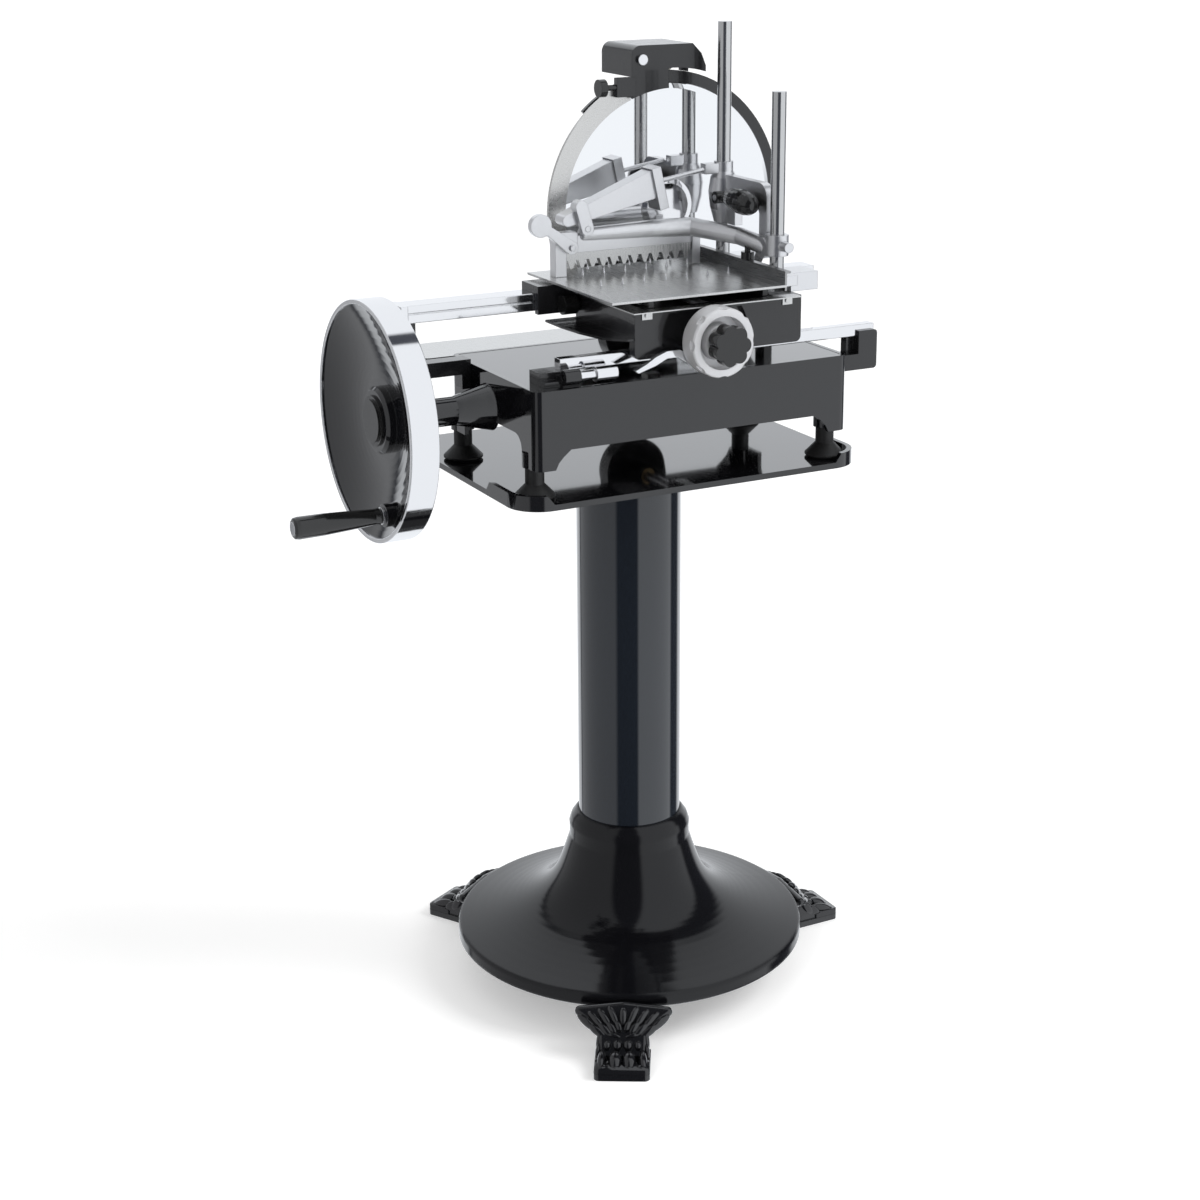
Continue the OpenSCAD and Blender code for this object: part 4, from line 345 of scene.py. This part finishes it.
steps_mesh = bpy.data.meshes.new("dial_steps")
b = bmesh.new()
turned(b, collar_outline, dial_centre, collar_steps)
b.to_mesh(steps_mesh)
b.free()
for face in steps_mesh.polygons:
    face.use_smooth = abs(face.normal.y) < flat_share
dial_steps = bpy.data.objects.new("dial_steps", steps_mesh)
bpy.context.scene.collection.objects.link(dial_steps)
steps_mesh.materials.append(satin)
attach(dial_steps, "dial")

# --- Studio ----------------------------------------------------------------------
# A pale floor that runs out of sight, soft lamps in front and above, and a white surround.
# Polished faces mirror a ring of white, grey and dark screens, which stand round the part.
floor_radius = 60
floor_lift = 0.3
sky_strength = 0.62
floor_mesh = bpy.data.meshes.new("floor")
b = bmesh.new()
bmesh.ops.create_circle(b, cap_ends=True, segments=96, radius=floor_radius)
b.to_mesh(floor_mesh)
b.free()
floor = bpy.data.objects.new("floor", floor_mesh)
bpy.context.scene.collection.objects.link(floor)
paper = bpy.data.materials.new("floor_paper")
paper.use_nodes = True
t = paper.node_tree
paper_shader = t.nodes["Principled BSDF"]
paper_shader.inputs["Base Color"].default_value = (0.93, 0.93, 0.93, 1)
paper_shader.inputs["Roughness"].default_value = 0.9
paper_shader.inputs["Specular IOR Level"].default_value = 0.1
lift = t.nodes.new("ShaderNodeEmission")
ray = t.nodes.new("ShaderNodeLightPath")
both = t.nodes.new("ShaderNodeAddShader")
shown = t.nodes.new("ShaderNodeMath")
shown.operation = "MULTIPLY"
shown.inputs[1].default_value = floor_lift
t.links.new(ray.outputs["Is Camera Ray"], shown.inputs[0])
t.links.new(shown.outputs["Value"], lift.inputs["Strength"])
t.links.new(paper_shader.outputs["BSDF"], both.inputs[0])
t.links.new(lift.outputs["Emission"], both.inputs[1])
t.links.new(both.outputs["Shader"], t.nodes["Material Output"].inputs["Surface"])
floor.data.materials.append(paper)
floor.visible_glossy = False

surround = bpy.data.worlds.new("surround")
bpy.context.scene.world = surround
surround.use_nodes = True
t = surround.node_tree
sky = t.nodes["Background"]
sky.inputs["Color"].default_value = (1, 1, 1, 1)
sky.inputs["Strength"].default_value = sky_strength
seen = t.nodes.new("ShaderNodeBackground")
seen.inputs["Color"].default_value = (1, 1, 1, 1)
seen.inputs["Strength"].default_value = 1.0
mirrored = t.nodes.new("ShaderNodeBackground")
way = t.nodes.new("ShaderNodeTexCoord")
part = t.nodes.new("ShaderNodeSeparateXYZ")
flip = t.nodes.new("ShaderNodeMath")
flip.operation = "MULTIPLY"
flip.inputs[1].default_value = -1
round_about = t.nodes.new("ShaderNodeMath")
round_about.operation = "ARCTAN2"
share = t.nodes.new("ShaderNodeMapRange")
share.inputs["From Min"].default_value = -math.pi
share.inputs["From Max"].default_value = math.pi
boxes = t.nodes.new("ShaderNodeValToRGB")
grey, white, dark = (0.52, 0.53, 0.55, 1), (0.95, 0.98, 1.02, 1), (0.07, 0.075, 0.09, 1)
ramp = boxes.color_ramp
# Degrees round the part from the front, and the screen's tone there
screens = ((-180, white), (-167, white), (-163, dark), (-158, grey), (-59, grey),
           (-52, dark), (-10, dark), (-5, white), (76, white), (82, dark), (106, dark),
           (114, white), (180, white))
while len(ramp.elements) < len(screens):
    ramp.elements.new(0.5)
# The stops are spread first, so that none passes another when it goes to its place
for i in range(len(screens)):
    ramp.elements[i].position = i / len(screens)
for element, (angle, color) in zip(ramp.elements, screens):
    element.position = (angle + 180) / 360
    element.color = color
ray = t.nodes.new("ShaderNodeLightPath")
pick = t.nodes.new("ShaderNodeMixShader")
gloss = t.nodes.new("ShaderNodeMixShader")
t.links.new(way.outputs["Generated"], part.inputs["Vector"])
t.links.new(part.outputs["Y"], flip.inputs[0])
t.links.new(part.outputs["X"], round_about.inputs[0])
t.links.new(flip.outputs["Value"], round_about.inputs[1])
t.links.new(round_about.outputs["Value"], share.inputs["Value"])
t.links.new(share.outputs["Result"], boxes.inputs["Fac"])
t.links.new(boxes.outputs["Color"], mirrored.inputs["Color"])
t.links.new(ray.outputs["Is Glossy Ray"], gloss.inputs["Fac"])
t.links.new(sky.outputs["Background"], gloss.inputs[1])
t.links.new(mirrored.outputs["Background"], gloss.inputs[2])
t.links.new(ray.outputs["Is Camera Ray"], pick.inputs["Fac"])
t.links.new(gloss.outputs["Shader"], pick.inputs[1])
t.links.new(seen.outputs["Background"], pick.inputs[2])
t.links.new(pick.outputs["Shader"], t.nodes["World Output"].inputs["Surface"])


def lamp(name, kind, at, aim, energy, size):
    light = bpy.data.lights.new(name, kind)
    light.energy = energy
    if kind == "AREA":
        light.shape = "RECTANGLE"
        light.size, light.size_y = size
    else:
        light.angle = size
    o = bpy.data.objects.new(name, light)
    bpy.context.scene.collection.objects.link(o)
    o.location = at
    o.visible_glossy = False
    o.rotation_euler = (Vector(aim) - Vector(at)).to_track_quat("-Z", "Y").to_euler()


lamp("key_sun", "SUN", (2.4, -1.6, 3.4), (0, 0, 0.4), 1.1, 0.5)
lamp("front_soft", "AREA", (-2.6, -2.4, 1.7), (0, 0, 0.8), 26, (0.5, 2.2))
lamp("right_soft", "AREA", (2.6, -1.9, 1.5), (0, 0, 0.8), 22, (0.5, 2.2))

tilt_down, turn_right = 16.22, 28.63
view = bpy.data.cameras.new("photo_view")
view.sensor_width = 36
view.lens = 66.85
view.shift_x = -0.0383
view.shift_y = -0.0833
camera = bpy.data.objects.new("photo_view", view)
bpy.context.scene.collection.objects.link(camera)
camera.location = (-1.3220, -2.6422, 1.5837)
camera.rotation_euler = (math.radians(90 - tilt_down), 0, math.radians(-turn_right))
bpy.context.scene.camera = camera
bpy.context.scene.view_settings.view_transform = "Standard"
